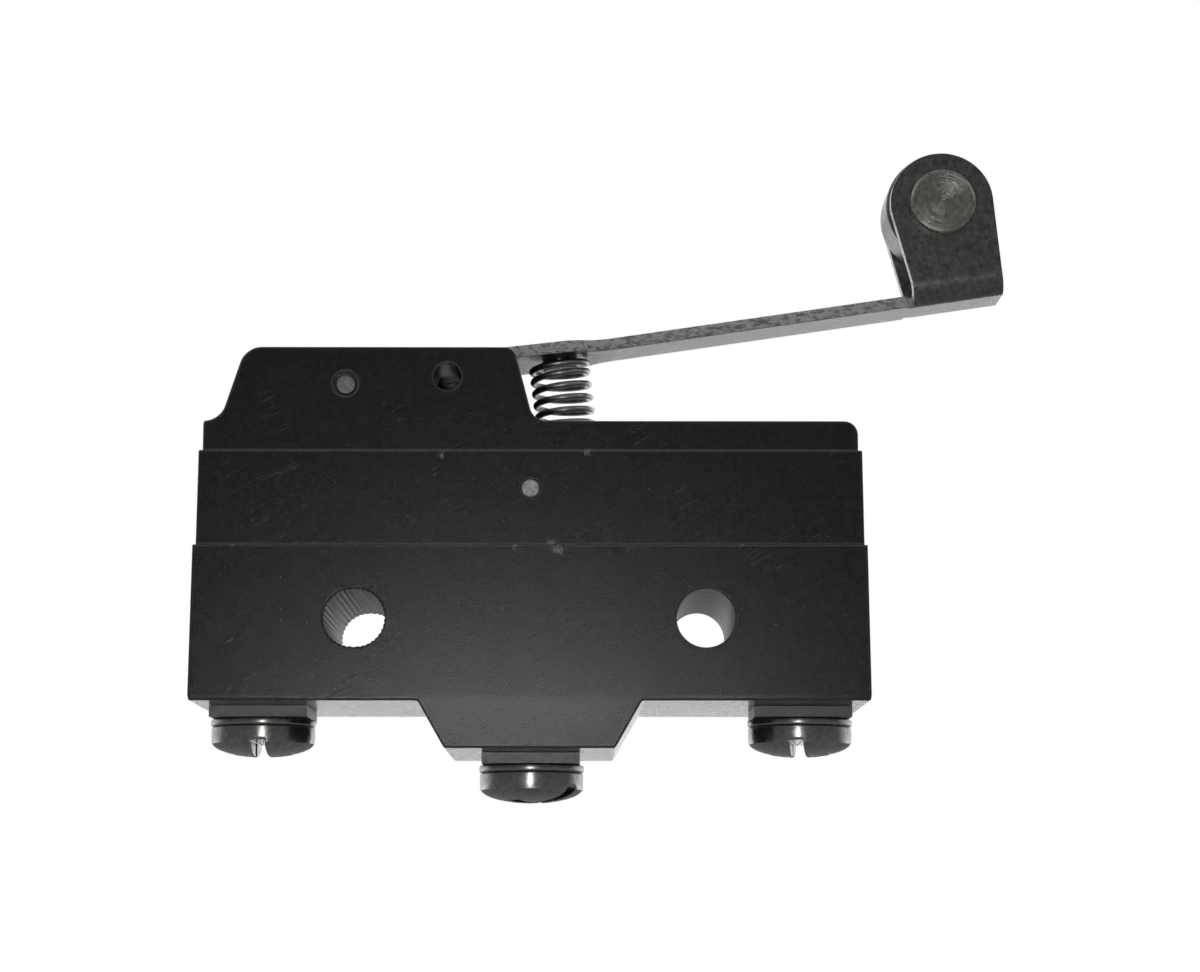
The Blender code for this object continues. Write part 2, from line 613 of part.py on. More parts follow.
def spring_height(turn):
    """Share of the spring's height that is reached after a number of turns."""
    middle = SPRING_TURNS - 2 * SPRING_END_TURNS
    pitch = (spring_rise() - 2 * SPRING_END_TURNS * SPRING_CLOSED_PITCH) / middle
    first = min(turn, SPRING_END_TURNS) * SPRING_CLOSED_PITCH
    open_part = min(max(turn - SPRING_END_TURNS, 0.0), middle) * pitch
    last = max(turn - SPRING_END_TURNS - middle, 0.0) * SPRING_CLOSED_PITCH
    return (first + open_part + last) / spring_rise()


def spring_rise():
    """Height from the middle of the first wire turn to the middle of the last."""
    underside = HINGE_HEIGHT + LEVER_RISE / math.cos(LEVER_TILT)
    underside += (BUTTON_X - HINGE_X) * math.tan(LEVER_TILT)
    return underside - SPRING_BOTTOM - SPRING_WIRE - 2 * SPRING_END_GAP


def make_spring(frame, finish):
    """A coil whose last turn lies along the lever's slanting underside."""
    curve = bpy.data.curves.new("coil_spring", "CURVE")
    curve.dimensions = "3D"
    curve.bevel_depth = SPRING_WIRE / 2
    curve.bevel_resolution = 2
    curve.use_fill_caps = True
    curve.materials.append(finish)
    radius = (SPRING_DIAMETER - SPRING_WIRE) / 2
    count = int(SPRING_TURNS * SPRING_POINTS_PER_TURN) + 1
    spline = curve.splines.new("POLY")
    spline.points.add(count - 1)
    for index, point in enumerate(spline.points):
        turn = index / SPRING_POINTS_PER_TURN
        share = spring_height(turn)
        across = radius * math.cos(math.tau * turn)
        height = SPRING_WIRE / 2 + SPRING_END_GAP
        height += share * (spring_rise() + across * math.tan(LEVER_TILT))
        point.co = (across - share * SPRING_LEAN, radius * math.sin(math.tau * turn), height, 1.0)
    spring = bpy.data.objects.new("coil_spring", curve)
    spring.parent = frame
    spring.location = (PLUNGER_X, 0.0, SPRING_BOTTOM)
    PARTS.objects.link(spring)


def make_button(hinge, finish):
    """A riveted stud under the lever that centres the spring's upper end."""
    low = -SEAT_GAP
    high = SHEET + SEAT_GAP
    button = PILOT_DIAMETER / 2
    shank = BUTTON_SHANK_DIAMETER / 2
    tail = BUTTON_TAIL_DIAMETER / 2
    profile = [(0.0, high + BUTTON_TAIL_HEIGHT), (tail - BUTTON_TAIL_HEIGHT, high + BUTTON_TAIL_HEIGHT),
               (tail, high), (shank, high), (shank, low), (button, low),
               (button, low - BUTTON_HEIGHT), (0.0, low - BUTTON_HEIGHT)]
    part(turned("spring_button", profile, hinge, (BUTTON_REACH, 0.0, LEVER_RISE), "Z", 24), finish)


def make_terminals(frame, finish):
    for kind, x, seat in terminal_places():
        top = seat - SEAT_GAP
        bottom = seat - PLATE_DROP
        plate = part(box("terminal_" + kind, (x - PLATE_WIDTH / 2, -PLATE_DEPTH / 2, bottom),
                         (x + PLATE_WIDTH / 2, PLATE_DEPTH / 2, top), frame), finish)
        insert_top = seat + INSERT_HEIGHT - SLIP_GAP
        combine(plate, rod("insert_" + kind, INSERT_DIAMETER, (top + bottom) / 2 - seat,
                           insert_top - seat, frame, (x, 0.0, seat)), "UNION")
        combine(plate, post_box("post_" + kind, frame, kind, 0.0), "UNION")
        combine(plate, rod("thread_" + kind, SCREW_DIAMETER + 2 * RUNNING_GAP, bottom - OVERCUT,
                           seat + THREAD_HEIGHT, frame, (x, 0.0, 0.0)), "DIFFERENCE")
        if kind == "common":
            finish_common(plate, frame)
        elif kind == "normally_open":
            combine(plate, box("open_strip", (0.0, -STRIP_WIDTH / 2, STRIP_BOTTOM),
                               (CONTACT_X + STRIP_OVERHANG, STRIP_WIDTH / 2, STRIP_TOP - STRIP_STEP),
                               frame), "UNION")
            combine(plate, contact_hole("open_contact_hole", frame), "DIFFERENCE")
        else:
            combine(plate, box("closed_arm", (CONTACT_X - STRIP_OVERHANG, -STRIP_WIDTH / 2,
                                              closed_arm_bottom()),
                               (TERMINAL_X, STRIP_WIDTH / 2, closed_arm_top() - STRIP_STEP),
                               frame), "UNION")
            combine(plate, contact_hole("closed_contact_hole", frame), "DIFFERENCE")


def contact_hole(name, frame):
    return rod(name, CONTACT_SHANK_DIAMETER + 2 * PRESS_GAP, STRIP_BOTTOM - OVERCUT / 2,
               closed_arm_top() + OVERCUT, frame, (CONTACT_X, 0.0, 0.0), "Z", 20)


def finish_common(plate, frame):
    """The common terminal carries the blade's rivet and, on a strap, the fulcrum lip."""
    half = BLADE_WIDTH / 2
    combine(plate, box("fulcrum_strap", (-TERMINAL_X, -STRIP_WIDTH / 2, STRIP_BOTTOM),
                       (FULCRUM_X, STRIP_WIDTH / 2, STRIP_TOP), frame), "UNION")
    combine(plate, box("fulcrum_lip", (FULCRUM_X - LIP_THICKNESS, -half, STRIP_TOP - SLIP_GAP),
                       (FULCRUM_X + SLIP_GAP, half, STRIP_TOP + LIP_HEIGHT), frame), "UNION")
    combine(plate, rod("blade_rivet_hole", CONTACT_SHANK_DIAMETER + 2 * PRESS_GAP,
                       BLADE_HEIGHT - POST_WIDTH / 2, BLADE_TOP + OVERCUT, frame,
                       (PIVOT_X, 0.0, 0.0), "Z", 20), "DIFFERENCE")


def make_screws(frame, screw_finish, washer_finish):
    shank = SCREW_DIAMETER / 2
    head = SCREW_HEAD_DIAMETER / 2
    drop = WASHER_THICKNESS + SEAT_GAP
    length = THREAD_HEIGHT - SCREW_TIP_GAP + PLATE_DROP + SEAT_GAP + drop
    for kind, x, seat in terminal_places():
        washer_top = seat - PLATE_DROP - SEAT_GAP
        hole = shank + SLIP_GAP
        outer = WASHER_DIAMETER / 2
        part(turned("washer_" + kind, [(hole, 0.0), (outer, 0.0), (outer, -WASHER_THICKNESS),
                                       (hole, -WASHER_THICKNESS)], frame, (x, 0.0, washer_top),
                    ring=True), washer_finish)
        profile = [(0.0, length), (shank - SCREW_TIP_CHAMFER, length),
                   (shank, length - SCREW_TIP_CHAMFER), (shank, 0.0), (head, 0.0)]
        for step in range(SCREW_DOME_STEPS):
            angle = math.pi / 2 * step / SCREW_DOME_STEPS
            profile.append((head * math.cos(angle), -SCREW_HEAD_RIM
                            - (SCREW_HEAD_HEIGHT - SCREW_HEAD_RIM) * math.sin(angle)))
        profile.append((0.0, -SCREW_HEAD_HEIGHT))
        screw = part(turned("screw_" + kind, profile, frame, (x, 0.0, washer_top - drop)), screw_finish)
        cross, slot = DRIVER_CROSS_LENGTH / 2, DRIVER_SLOT_WIDTH / 2
        low = -SCREW_HEAD_HEIGHT - OVERCUT
        high = -SCREW_HEAD_HEIGHT + DRIVER_DEPTH
        combine(screw, box("driver_slot_" + kind, (-slot, -head - OVERCUT, low),
                           (slot, head + OVERCUT, high), frame, screw.location), "DIFFERENCE")
        combine(screw, box("driver_cross_" + kind, (-cross, -slot, low),
                           (cross, slot, high - RUNNING_GAP), frame, screw.location), "DIFFERENCE")


def bow_leg(name, frame, side):
    """A bowed compression leg, hung below the blade between its head and the fulcrum lip."""
    start = FULCRUM_X + 2 * SLIP_GAP - PIVOT_X
    end = head_start() - PIVOT_X + BLADE_THICKNESS
    steps = 12
    shape = bmesh.new()
    rows = []
    for index in range(steps + 1):
        share = index / steps
        sag = BOW_START_DROP * (1 - share) + BOW_DROP * math.sin(math.pi * share)
        x = start + (end - start) * share
        near = side * (TENSION_LEG_WIDTH / 2 + BLADE_THICKNESS)
        far = near + side * BOW_LEG_WIDTH
        rows.append([shape.verts.new((x, y, BLADE_THICKNESS / 2 - sag)) for y in (near, far)])
    for row, following in zip(rows, rows[1:]):
        shape.faces.new((row[0], following[0], following[1], row[1]))
    bmesh.ops.recalc_face_normals(shape, faces=shape.faces)
    mesh = bpy.data.meshes.new(name)
    shape.to_mesh(mesh)
    shape.free()
    leg = tool(name, mesh, frame)
    sheet = leg.modifiers.new("sheet", "SOLIDIFY")
    sheet.thickness = BOW_THICKNESS
    sheet.offset = 0.0
    return leg


def head_start():
    return CONTACT_X - BLADE_HEAD_LENGTH + BLADE_WIDTH / 2


def make_blade(pivot, blade_finish):
    """A one-piece snap blade: anchor pad, narrow tension leg, contact head and two bowed legs."""
    half = BLADE_WIDTH / 2
    leg = TENSION_LEG_WIDTH / 2
    edge = BLADE_THICKNESS
    plan = [(-BLADE_TAIL, half, edge), (BLADE_PAD_LENGTH, half, edge), (BLADE_PAD_LENGTH, leg, edge),
            (head_start() - PIVOT_X, leg, edge), (head_start() - PIVOT_X, half, edge),
            (CONTACT_X - PIVOT_X + BLADE_TAIL, half, edge)]
    plan += [(x, -y, radius) for x, y, radius in reversed(plan)]
    blade = part(outline("snap_blade", rounded(plan, 3), BLADE_THICKNESS, pivot,
                         (0.0, 0.0, BLADE_THICKNESS / 2), "XY"), blade_finish)
    combine(blade, bow_leg("bow_front", pivot, -1), "UNION")
    combine(blade, bow_leg("bow_rear", pivot, 1), "UNION")
    for name, x, gap in (("rivet_clearance", 0.0, 2 * SLIP_GAP),
                         ("contact_clearance", CONTACT_X - PIVOT_X, PRESS_GAP)):
        combine(blade, rod(name, CONTACT_SHANK_DIAMETER + 2 * gap, -OVERCUT, OVERCUT, pivot,
                           (x, 0.0, 0.0), "Z", 20), "DIFFERENCE")


def dome(radius, height, seat, direction):
    """Profile of a domed contact face on a seat, from its edge to its centre."""
    points = []
    for step in range(CONTACT_DOME_STEPS + 1):
        angle = math.pi / 2 * step / CONTACT_DOME_STEPS
        points.append((radius * math.cos(angle), seat + direction * height * math.sin(angle)))
    points[-1] = (0.0, seat + direction * height)
    return points


def make_contacts(frame, pivot, finish, rivet_finish):
    radius = CONTACT_DIAMETER / 2
    shank = CONTACT_SHANK_DIAMETER / 2
    upper = list(reversed(dome(radius, CONTACT_DOME - SEAT_GAP, BLADE_THICKNESS + SEAT_GAP, 1)))
    lower = dome(radius, CONTACT_DOME - SEAT_GAP, -SEAT_GAP, -1)
    part(turned("moving_contact", upper + [(shank, BLADE_THICKNESS + SEAT_GAP), (shank, -SEAT_GAP)]
                + lower, pivot, (CONTACT_X - PIVOT_X, 0.0, 0.0), steps=24), finish)
    place = (CONTACT_X, 0.0, 0.0)
    seat = STRIP_TOP + SEAT_GAP
    top = open_contact_top()
    part(turned("open_contact", list(reversed(dome(radius, CONTACT_DOME, top - CONTACT_DOME, 1)))
                + [(radius, seat), (shank, seat), (shank, STRIP_BOTTOM), (0.0, STRIP_BOTTOM)],
                frame, place, steps=24), finish)
    seat = closed_arm_bottom() - SEAT_GAP
    part(turned("closed_contact", [(0.0, closed_arm_top()), (shank, closed_arm_top()), (shank, seat)]
                + dome(radius, seat - closed_contact_bottom(), seat, -1), frame, place, steps=24),
         finish)
    head = BLADE_TOP + 2 * SEAT_GAP
    part(turned("blade_rivet", [(0.0, head + RIVET_HEAD_HEIGHT), (shank, head + RIVET_HEAD_HEIGHT),
                                (radius, head + RIVET_HEAD_HEIGHT / 2), (radius, head),
                                (shank, head), (shank, BLADE_HEIGHT - POST_WIDTH / 2 + SLIP_GAP),
                                (0.0, BLADE_HEIGHT - POST_WIDTH / 2 + SLIP_GAP)],
                frame, (PIVOT_X, 0.0, 0.0), steps=24), rivet_finish)


def build():
    clear_scene()
    phenolic = material("phenolic", (0.018, 0.018, 0.021), 0.42, 0.0)
    stainless = material("stainless", (0.56, 0.57, 0.57), 0.3, 1.0)
    roller_steel = material("roller_steel", (0.66, 0.66, 0.65), 0.34, 1.0)
    nickel = material("nickel_plate", (0.7, 0.69, 0.66), 0.2, 1.0)
    spring_steel = material("spring_steel", (0.32, 0.32, 0.33), 0.28, 1.0)
    brass = material("brass", (0.72, 0.53, 0.26), 0.3, 1.0)
    bronze = material("blade_bronze", (0.72, 0.45, 0.25), 0.3, 1.0)
    silver = material("contact_silver", (0.85, 0.84, 0.82), 0.25, 1.0)
    nylon = material("plunger_plastic", (0.16, 0.05, 0.04), 0.45, 0.0)

    case = empty("case_frame", (0.0, -HALF_DEPTH, 0.0))
    hinge = empty("lever_hinge", (HINGE_X, 0.0, HINGE_HEIGHT), case, -LEVER_TILT)
    arm = empty("arm_bend", (BEND_AT, 0.0, LEVER_RISE), hinge, -BEND_ANGLE)
    pivot = empty("blade_pivot", (PIVOT_X, 0.0, BLADE_HEIGHT), case)

    make_base(case, phenolic)
    make_cover(case, phenolic)
    make_pins(case, nickel)
    make_lever(hinge, arm, stainless)
    make_roller(arm, roller_steel, stainless)
    make_button(hinge, stainless)
    make_plunger(case, nylon)
    make_spring(case, spring_steel)
    make_terminals(case, brass)
    make_screws(case, nickel, nickel)
    make_blade(pivot, bronze)
    make_contacts(case, pivot, silver, brass)
    bpy.context.view_layer.update()


build()
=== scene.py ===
"""Roller-lever limit switch: the detailed look of the case, the lever train and the terminals.

Every piece is modelled at its real size in metres, around the packed frame, and rides on one of
the frame's bodies. X runs along the case, Z is up and the front face looks along -Y.
"""

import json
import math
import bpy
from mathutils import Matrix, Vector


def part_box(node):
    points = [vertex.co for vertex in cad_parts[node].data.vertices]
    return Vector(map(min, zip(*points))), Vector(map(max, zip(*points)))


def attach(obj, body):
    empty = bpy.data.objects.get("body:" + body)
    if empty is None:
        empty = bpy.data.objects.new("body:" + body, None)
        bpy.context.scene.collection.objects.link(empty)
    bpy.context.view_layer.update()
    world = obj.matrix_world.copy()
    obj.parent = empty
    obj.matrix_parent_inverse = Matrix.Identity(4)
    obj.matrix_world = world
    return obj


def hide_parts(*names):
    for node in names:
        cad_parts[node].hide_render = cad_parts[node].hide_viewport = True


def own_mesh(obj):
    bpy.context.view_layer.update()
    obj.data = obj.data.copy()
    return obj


bl_info = {
    "name": "Roller-Lever Limit Switch",
    "version": (1, 0, 0),
    "blender": (4, 5, 0),
    "location": "View3D > Sidebar > Limit Switch",
    "description": "Builds a roller-lever limit switch with its case, lever, spring and terminals",
    "category": "Add Mesh",
}

import bmesh
import bpy
from mathutils import Matrix, Vector

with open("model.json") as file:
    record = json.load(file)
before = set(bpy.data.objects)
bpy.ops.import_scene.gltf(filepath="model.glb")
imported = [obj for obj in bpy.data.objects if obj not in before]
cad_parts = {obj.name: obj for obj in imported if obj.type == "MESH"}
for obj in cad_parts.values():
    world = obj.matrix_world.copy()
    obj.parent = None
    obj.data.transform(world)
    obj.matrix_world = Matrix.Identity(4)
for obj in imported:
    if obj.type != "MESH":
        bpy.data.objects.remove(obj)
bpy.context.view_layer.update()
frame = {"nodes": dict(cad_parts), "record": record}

MM = 0.001
MICRON = 0.000001
TINY = 0.002 * MM
MERGE = 0.0002 * MM
SHARP = math.radians(35)
SMOOTH = math.radians(32)
ROUND_SIDES = 64


def corners(node):
    """The lowest and highest corners of a frame node at rest."""
    low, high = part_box(node)
    return Vector(low), Vector(high)


def joint_place(name):
    """The point that a joint's axis passes through."""
    for joint in frame["record"]["behaviour"]["joints"]:
        if joint["name"] == name:
            return Vector(joint["pos_m"])
    raise RuntimeError("the frame has no joint " + name)


BASE_LOW, BASE_HIGH = corners("base")
COVER_LOW, COVER_HIGH = corners("cover")
BASE_SEAM = COVER_LOW.z - 0.01 * MM
MIDDLE_Y = (BASE_LOW.y + BASE_HIGH.y) / 2
HINGE = joint_place("lever_hinge")
ROLLER_AXIS = joint_place("roller_spin")
TERMINALS = ("common", "normally_open", "normally_closed")
MIDDLE = Vector((0.0, MIDDLE_Y, 0.0))
ALONG_X = Vector((1.0, 0.0, 0.0))
ALONG_Y = Vector((0.0, 1.0, 0.0))
ALONG_Z = Vector((0.0, 0.0, 1.0))


# Settings

def length(name, description, size):
    """A length property with its default in millimetres."""
    return bpy.props.FloatProperty(name=name, description=description, default=size * MM,
                                   min=0.0, precision=5, unit="LENGTH")


def angle(name, description, degrees):
    return bpy.props.FloatProperty(name=name, description=description,
                                   default=math.radians(degrees), unit="ROTATION")


def colour(name, description, value):
    return bpy.props.FloatVectorProperty(name=name, description=description, default=value,
                                         min=0.0, max=1.0, subtype="COLOR")


def share(name, description, value):
    return bpy.props.FloatProperty(name=name, description=description, default=value, min=0.0,
                                   max=1.0, subtype="FACTOR")


class BaseSettings(bpy.types.PropertyGroup):
    """Sizes of the lower case."""
    draft: length("Draft", "How much shorter each end is at the seam than at the bottom", 0.15)
    edge_round: length("Edge round", "Radius of the outer edges", 0.16)
    seam_round: length("Seam round", "Radius of the edges at the seam", 0.06)
    foot_height: length("Foot height", "Drop of the centre foot below the case", 3.41)
    foot_top: length("Foot top", "Half length of the foot where it leaves the case", 8.1)
    foot_bottom: length("Foot bottom", "Half length of the foot at its seat", 6.15)
    parting_height: length("Parting line", "Height of the parting line above the bottom", 0.42)
    parting_step: length("Parting step", "Depth of the step at the parting line", 0.04)
    hole_pitch: length("Hole pitch", "Distance between the mounting holes", 25.4)
    hole_diameter: length("Hole diameter", "Diameter of the mounting holes", 4.25)
    hole_stretch: length("Hole stretch", "Extra length of the slotted mounting hole", 0.25)
    rib_depth: length("Rib depth", "Depth of the ribs inside the slotted hole", 0.07)
    rim_round: length("Rim round", "Radius of the mounting holes' rims", 0.14)
    wall: length("Wall", "Thickness of the long walls", 1.6)
    end_wall: length("End wall", "Thickness of the end walls", 2.2)
    cavity_floor: length("Cavity floor", "Height of the cavity's floor", 3.2)
    upstand_width: length("Upstand width", "Width of the two upstands for the cover pins", 6.0)
    upstand_thickness: length("Upstand thickness", "Thickness of the two upstands", 1.4)


class CoverSettings(bpy.types.PropertyGroup):
    """Sizes of the upper case and of the hinge cheeks on it."""
    skirt_top: length("Skirt top", "Height of the lower step", 12.25)
    skirt_draft: length("Skirt draft", "How much each end leans in over the skirt", 0.08)
    deck_top: length("Deck top", "Height of the upper step", 14.47)
    deck_inset: length("Deck inset", "Set-back of the upper step at each end", 0.28)
    deck_side_inset: length("Deck side inset", "Set-back of the upper step at the sides", 0.15)
    deck_corner: length("Deck corner", "Radius of the upper step's right-hand corner", 1.0)
    cheek_foot: length("Cheek foot", "Left foot of the hump, from the case's middle", 22.67)
    cheek_shoulder: length("Cheek shoulder", "Left shoulder of the hump, from the middle", 20.88)
    cheek_nose: length("Cheek nose", "Right shoulder of the hump, left of the middle", 1.25)
    cheek_toe: length("Cheek toe", "Right foot of the hump, right of the middle", 0.19)
    foot_round: length("Foot round", "Radius at the hump's left foot", 1.5)
    shoulder_round: length("Shoulder round", "Radius of the hump's left shoulder", 1.6)
    nose_round: length("Nose round", "Radius of the hump's right shoulder", 0.8)
    toe_round: length("Toe round", "Radius at the hump's right foot", 1.2)
    edge_round: length("Edge round", "Radius of the outer edges", 0.24)
    seam_round: length("Seam round", "Radius of the edges at the seam and the lower step", 0.06)
    slot_width: length("Slot width", "Gap between the two cheeks", 7.65)
    slot_start: length("Slot start", "Left end of the slot, from the middle", 18.6)
    wall: length("Wall", "Thickness of the long walls", 1.6)
    end_wall: length("End wall", "Thickness of the end walls", 1.8)
    roof: length("Roof", "Thickness of the deck over the hollow", 2.07)
    spare_offset: length("Spare hole offset", "Distance of the spare hole from the hinge", 7.44)
    spare_rise: length("Spare hole rise", "Height of the spare hole over the hinge", 0.52)
    spare_diameter: length("Spare hole", "Diameter of the spare hinge hole", 2.0)
    mouth_diameter: length("Hinge mouth", "Diameter of the hinge hole's mouth", 1.9)
    mouth_depth: length("Mouth depth", "Depth of the hinge hole's mouth", 0.8)
    hinge_bore: length("Hinge bore", "Diameter of the hinge hole", 1.49)
    hole_rim: length("Hole rim", "Radius of the small holes' rims", 0.1)
    pin_bore: length("Cover pin bore", "Diameter of the cover pins' holes", 1.34)
    pin_height: length("Cover pin height", "Height of the cover pins", 9.46)
    plunger_bore: length("Plunger bore", "Diameter of the plunger's bore", 3.0)
    recess_diameter: length("Recess", "Diameter of the recess under the spring seat", 5.6)
    recess_depth: length("Recess depth", "Depth of the recess under the spring seat", 1.17)


class LeverSettings(bpy.types.PropertyGroup):
    """Sizes of the bent lever, measured along it from the hinge axis."""
    tilt: angle("Tilt", "Slope of the lever at rest", 6.39)
    bend: angle("Bend", "Further slope of the arm past its bend", 1.97)
    bend_at: length("Bend at", "Distance of the bend from the hinge axis", 18.05)
    rise: length("Rise", "Height of the lever's underside over the hinge axis", 1.465)
    sheet: length("Sheet", "Thickness of the sheet", 0.9)
    tail: length("Tail", "Length behind the hinge axis", 2.9)
    width: length("Width", "Width over the hinge", 7.3)
    neck: length("Neck", "Where the lever starts to narrow", 17.0)
    neck_length: length("Neck length", "Length over which it narrows", 2.0)
    arm_width: length("Arm width", "Width of the arm", 4.6)
    lug_width: length("Lug width", "Width of the hinge lugs", 4.2)
    lug_drop: length("Lug drop", "How far the hinge lugs hang under the hinge axis", 1.86)
    reach: length("Reach", "Distance of the roller's axis past the bend", 28.05)
    lift: length("Lift", "Height of the roller's axis over the arm's underside", 7.33)
    heel: length("Ear heel", "Distance of the ear's left foot from the roller's axis", 3.2)
    toe: length("Ear toe", "Distance of the ear's right foot from the roller's axis", 3.65)
    ear_radius: length("Ear radius", "Radius of the ears' round tops", 3.9)
    fork_width: length("Fork width", "Width over the two ears", 6.9)
    fork_bend: length("Fork bend", "Outer radius of the bend below the ears", 1.7)
    notch: length("Notch", "Length of the relief notch before the ears", 0.4)
    edge_round: length("Edge round", "Radius of the sheet's edges", 0.07)


class TrainSettings(bpy.types.PropertyGroup):
    """Sizes of the roller, its axle, the pins, the plunger and the spring."""
    roller_edge: length("Roller edge", "Radius of the roller's edges", 0.3)
    roller_recess: length("Roller recess", "Depth of the shallow recess in the roller's sides", 0.12)
    axle_diameter: length("Axle diameter", "Diameter of the roller's axle", 2.6)
    axle_head: length("Axle head", "Height of the axle's riveted heads", 0.8)
    axle_dish: length("Axle dish", "Depth of the dish in the heads", 0.16)
    pin_edge: length("Pin edge", "Round at the ends of the pins", 0.08)
    plunger_diameter: length("Plunger diameter", "Diameter of the plunger's stem", 2.9)
    plunger_head: length("Plunger head", "Height of the plunger's flange", 0.8)
    pilot_diameter: length("Pilot diameter", "Diameter of the pilots inside the spring", 3.0)
    pilot_height: length("Pilot height", "Height of the pilot on the plunger", 0.5)
    wire: length("Wire", "Diameter of the spring's wire", 0.5)
    coil: length("Coil", "Outer diameter of the spring", 4.64)
    turns: bpy.props.FloatProperty(name="Turns", description="Number of turns", default=6.0)
    end_turns: bpy.props.FloatProperty(name="End turns", description="Closed turns at each end",
                                       default=0.75)
    closed_pitch: length("Closed pitch", "Rise of each closed turn", 0.52)
    lean: length("Lean", "Distance that the spring leans towards the hinge", 0.6)


class TerminalSettings(bpy.types.PropertyGroup):
    """Sizes of the screws, the washers and the places that they go in."""
    shank: length("Shank", "Diameter of the screws", 3.9)
    pitch: length("Pitch", "Distance between threads", 0.7)
    thread_depth: length("Thread depth", "Depth of the thread", 0.3)
    rim: length("Rim", "Height of the screw head's upright rim", 1.1)
    slot: length("Slot", "Width of the driver's slot", 1.0)
    cross: length("Cross", "Length of the short arm of the driver's recess", 4.2)
    slot_depth: length("Slot depth", "Depth of the driver's slot", 1.1)
    turn_open: angle("Turn, open", "How the normally open screw is turned", 52)
    turn_closed: angle("Turn, closed", "How the normally closed screw is turned", -8)
    washer_round: length("Washer round", "Radius of the washers' edges", 0.1)
    socket: length("Socket", "Diameter of the sockets in the base", 6.04)
    socket_depth: length("Socket depth", "Depth of the sockets in the base", 5.62)


class FinishSettings(bpy.types.PropertyGroup):
    """Colours of the finishes."""
    case: colour("Case", "Moulded phenolic", (0.0140, 0.0144, 0.0158))
    case_worn: colour("Case, worn", "Phenolic where it is rubbed at its edges", (0.20, 0.203, 0.21))
    dust: colour("Dust", "Light dust in the texture", (0.30, 0.30, 0.29))
    lever: colour("Lever", "Tumbled stainless sheet", (0.235, 0.247, 0.235))
    sheared: colour("Sheared edge", "Broken edge of the sheet", (0.95, 0.95, 0.93))
    roller: colour("Roller", "Ground steel roller", (0.20, 0.20, 0.20))
    axle: colour("Axle", "Turned steel axle", (0.44, 0.47, 0.41))
    pin: colour("Pin", "Cut ends of the pins", (0.62, 0.62, 0.60))
    spring: colour("Spring", "Music wire", (0.62, 0.62, 0.62))
    screw: colour("Screw", "Nickel plate", (0.40, 0.40, 0.385))
    plate: colour("Plate", "Nickel-plated terminal plates", (0.17, 0.17, 0.165))
    brass: colour("Brass", "Bare brass inside the case", (0.66, 0.47, 0.20))
    bronze: colour("Bronze", "Snap blade", (0.66, 0.40, 0.22))
    silver: colour("Silver", "Contact faces", (0.82, 0.81, 0.79))
    nylon: colour("Nylon", "Plunger", (0.12, 0.035, 0.03))
    wear: share("Wear", "How far the edges are rubbed", 0.8)


class StageSettings(bpy.types.PropertyGroup):
    """The floor, the camera and the lights."""
    floor_drop: length("Floor drop", "How far the floor lies under the mounting holes", 40.0)
    floor_size: length("Floor size", "Width of the floor", 3000.0)
    camera_place: bpy.props.FloatVectorProperty(
        name="Camera place", description="Where the camera stands", subtype="TRANSLATION",
        default=(3.771 * MM, -225.996 * MM, -21.494 * MM), precision=5)
    camera_turn: bpy.props.FloatVectorProperty(
        name="Camera turn", description="How the camera is turned", subtype="EULER",
        default=(math.radians(98.48), 0.0, math.radians(-0.35)))
    lens: bpy.props.FloatProperty(name="Lens", description="Focal length in millimetres",
                                  default=87.2)
    floor_colour: colour("Floor", "Colour of the floor", (0.86, 0.86, 0.86))
    floor_glow: bpy.props.FloatProperty(name="Floor glow", default=2.6,
                                        description="Brightness of the floor behind the switch")
    flash_power: bpy.props.FloatProperty(name="Flash power", default=0.032,
                                         description="Power of the flash in watts")


SETTINGS = {
    "switch_base": BaseSettings,
    "switch_cover": CoverSettings,
    "switch_lever": LeverSettings,
    "switch_train": TrainSettings,
    "switch_terminals": TerminalSettings,
    "switch_finish": FinishSettings,
    "switch_stage": StageSettings,
}


# Modelling

def only(piece):
    """Leave one piece selected and active."""
    bpy.ops.object.select_all(action="DESELECT")
    piece.select_set(True)
    bpy.context.view_layer.objects.active = piece


def settle(piece):
    """Put a piece's place, turn and scale into its mesh."""
    only(piece)
    bpy.ops.object.transform_apply(location=True, rotation=True, scale=True)


def named(name):
    piece = bpy.context.active_object
    piece.name = name
    piece.data.name = name
    return piece


def block(name, low, high):
    """A cube stretched to fill the box from low to high."""
    low = Vector(low)
    high = Vector(high)
    bpy.ops.object.select_all(action="DESELECT")
    bpy.ops.mesh.primitive_cube_add(size=1.0, location=(low + high) / 2)
    piece = named(name)
    piece.scale = high - low
    settle(piece)
    return piece


def rod(name, diameter, start, end, sides=ROUND_SIDES):
    """A cylinder between two points."""
    start = Vector(start)
    end = Vector(end)
    run = end - start
    bpy.ops.object.select_all(action="DESELECT")
    bpy.ops.mesh.primitive_cylinder_add(vertices=sides, radius=diameter / 2, depth=run.length)
    piece = named(name)
    turn = run.to_track_quat("Z", "Y").to_matrix().to_4x4()
    piece.matrix_world = Matrix.Translation((start + end) / 2) @ turn
    settle(piece)
    return piece


def edit(piece):
    only(piece)
    bpy.ops.object.mode_set(mode="EDIT")
    bpy.ops.mesh.select_mode(type="VERT")


def leave():
    bpy.ops.object.mode_set(mode="OBJECT")


def middle(item):
    """The middle of an edge or a face."""
    total = Vector()
    for vertex in item.verts:
        total += vertex.co
    return total / len(item.verts)


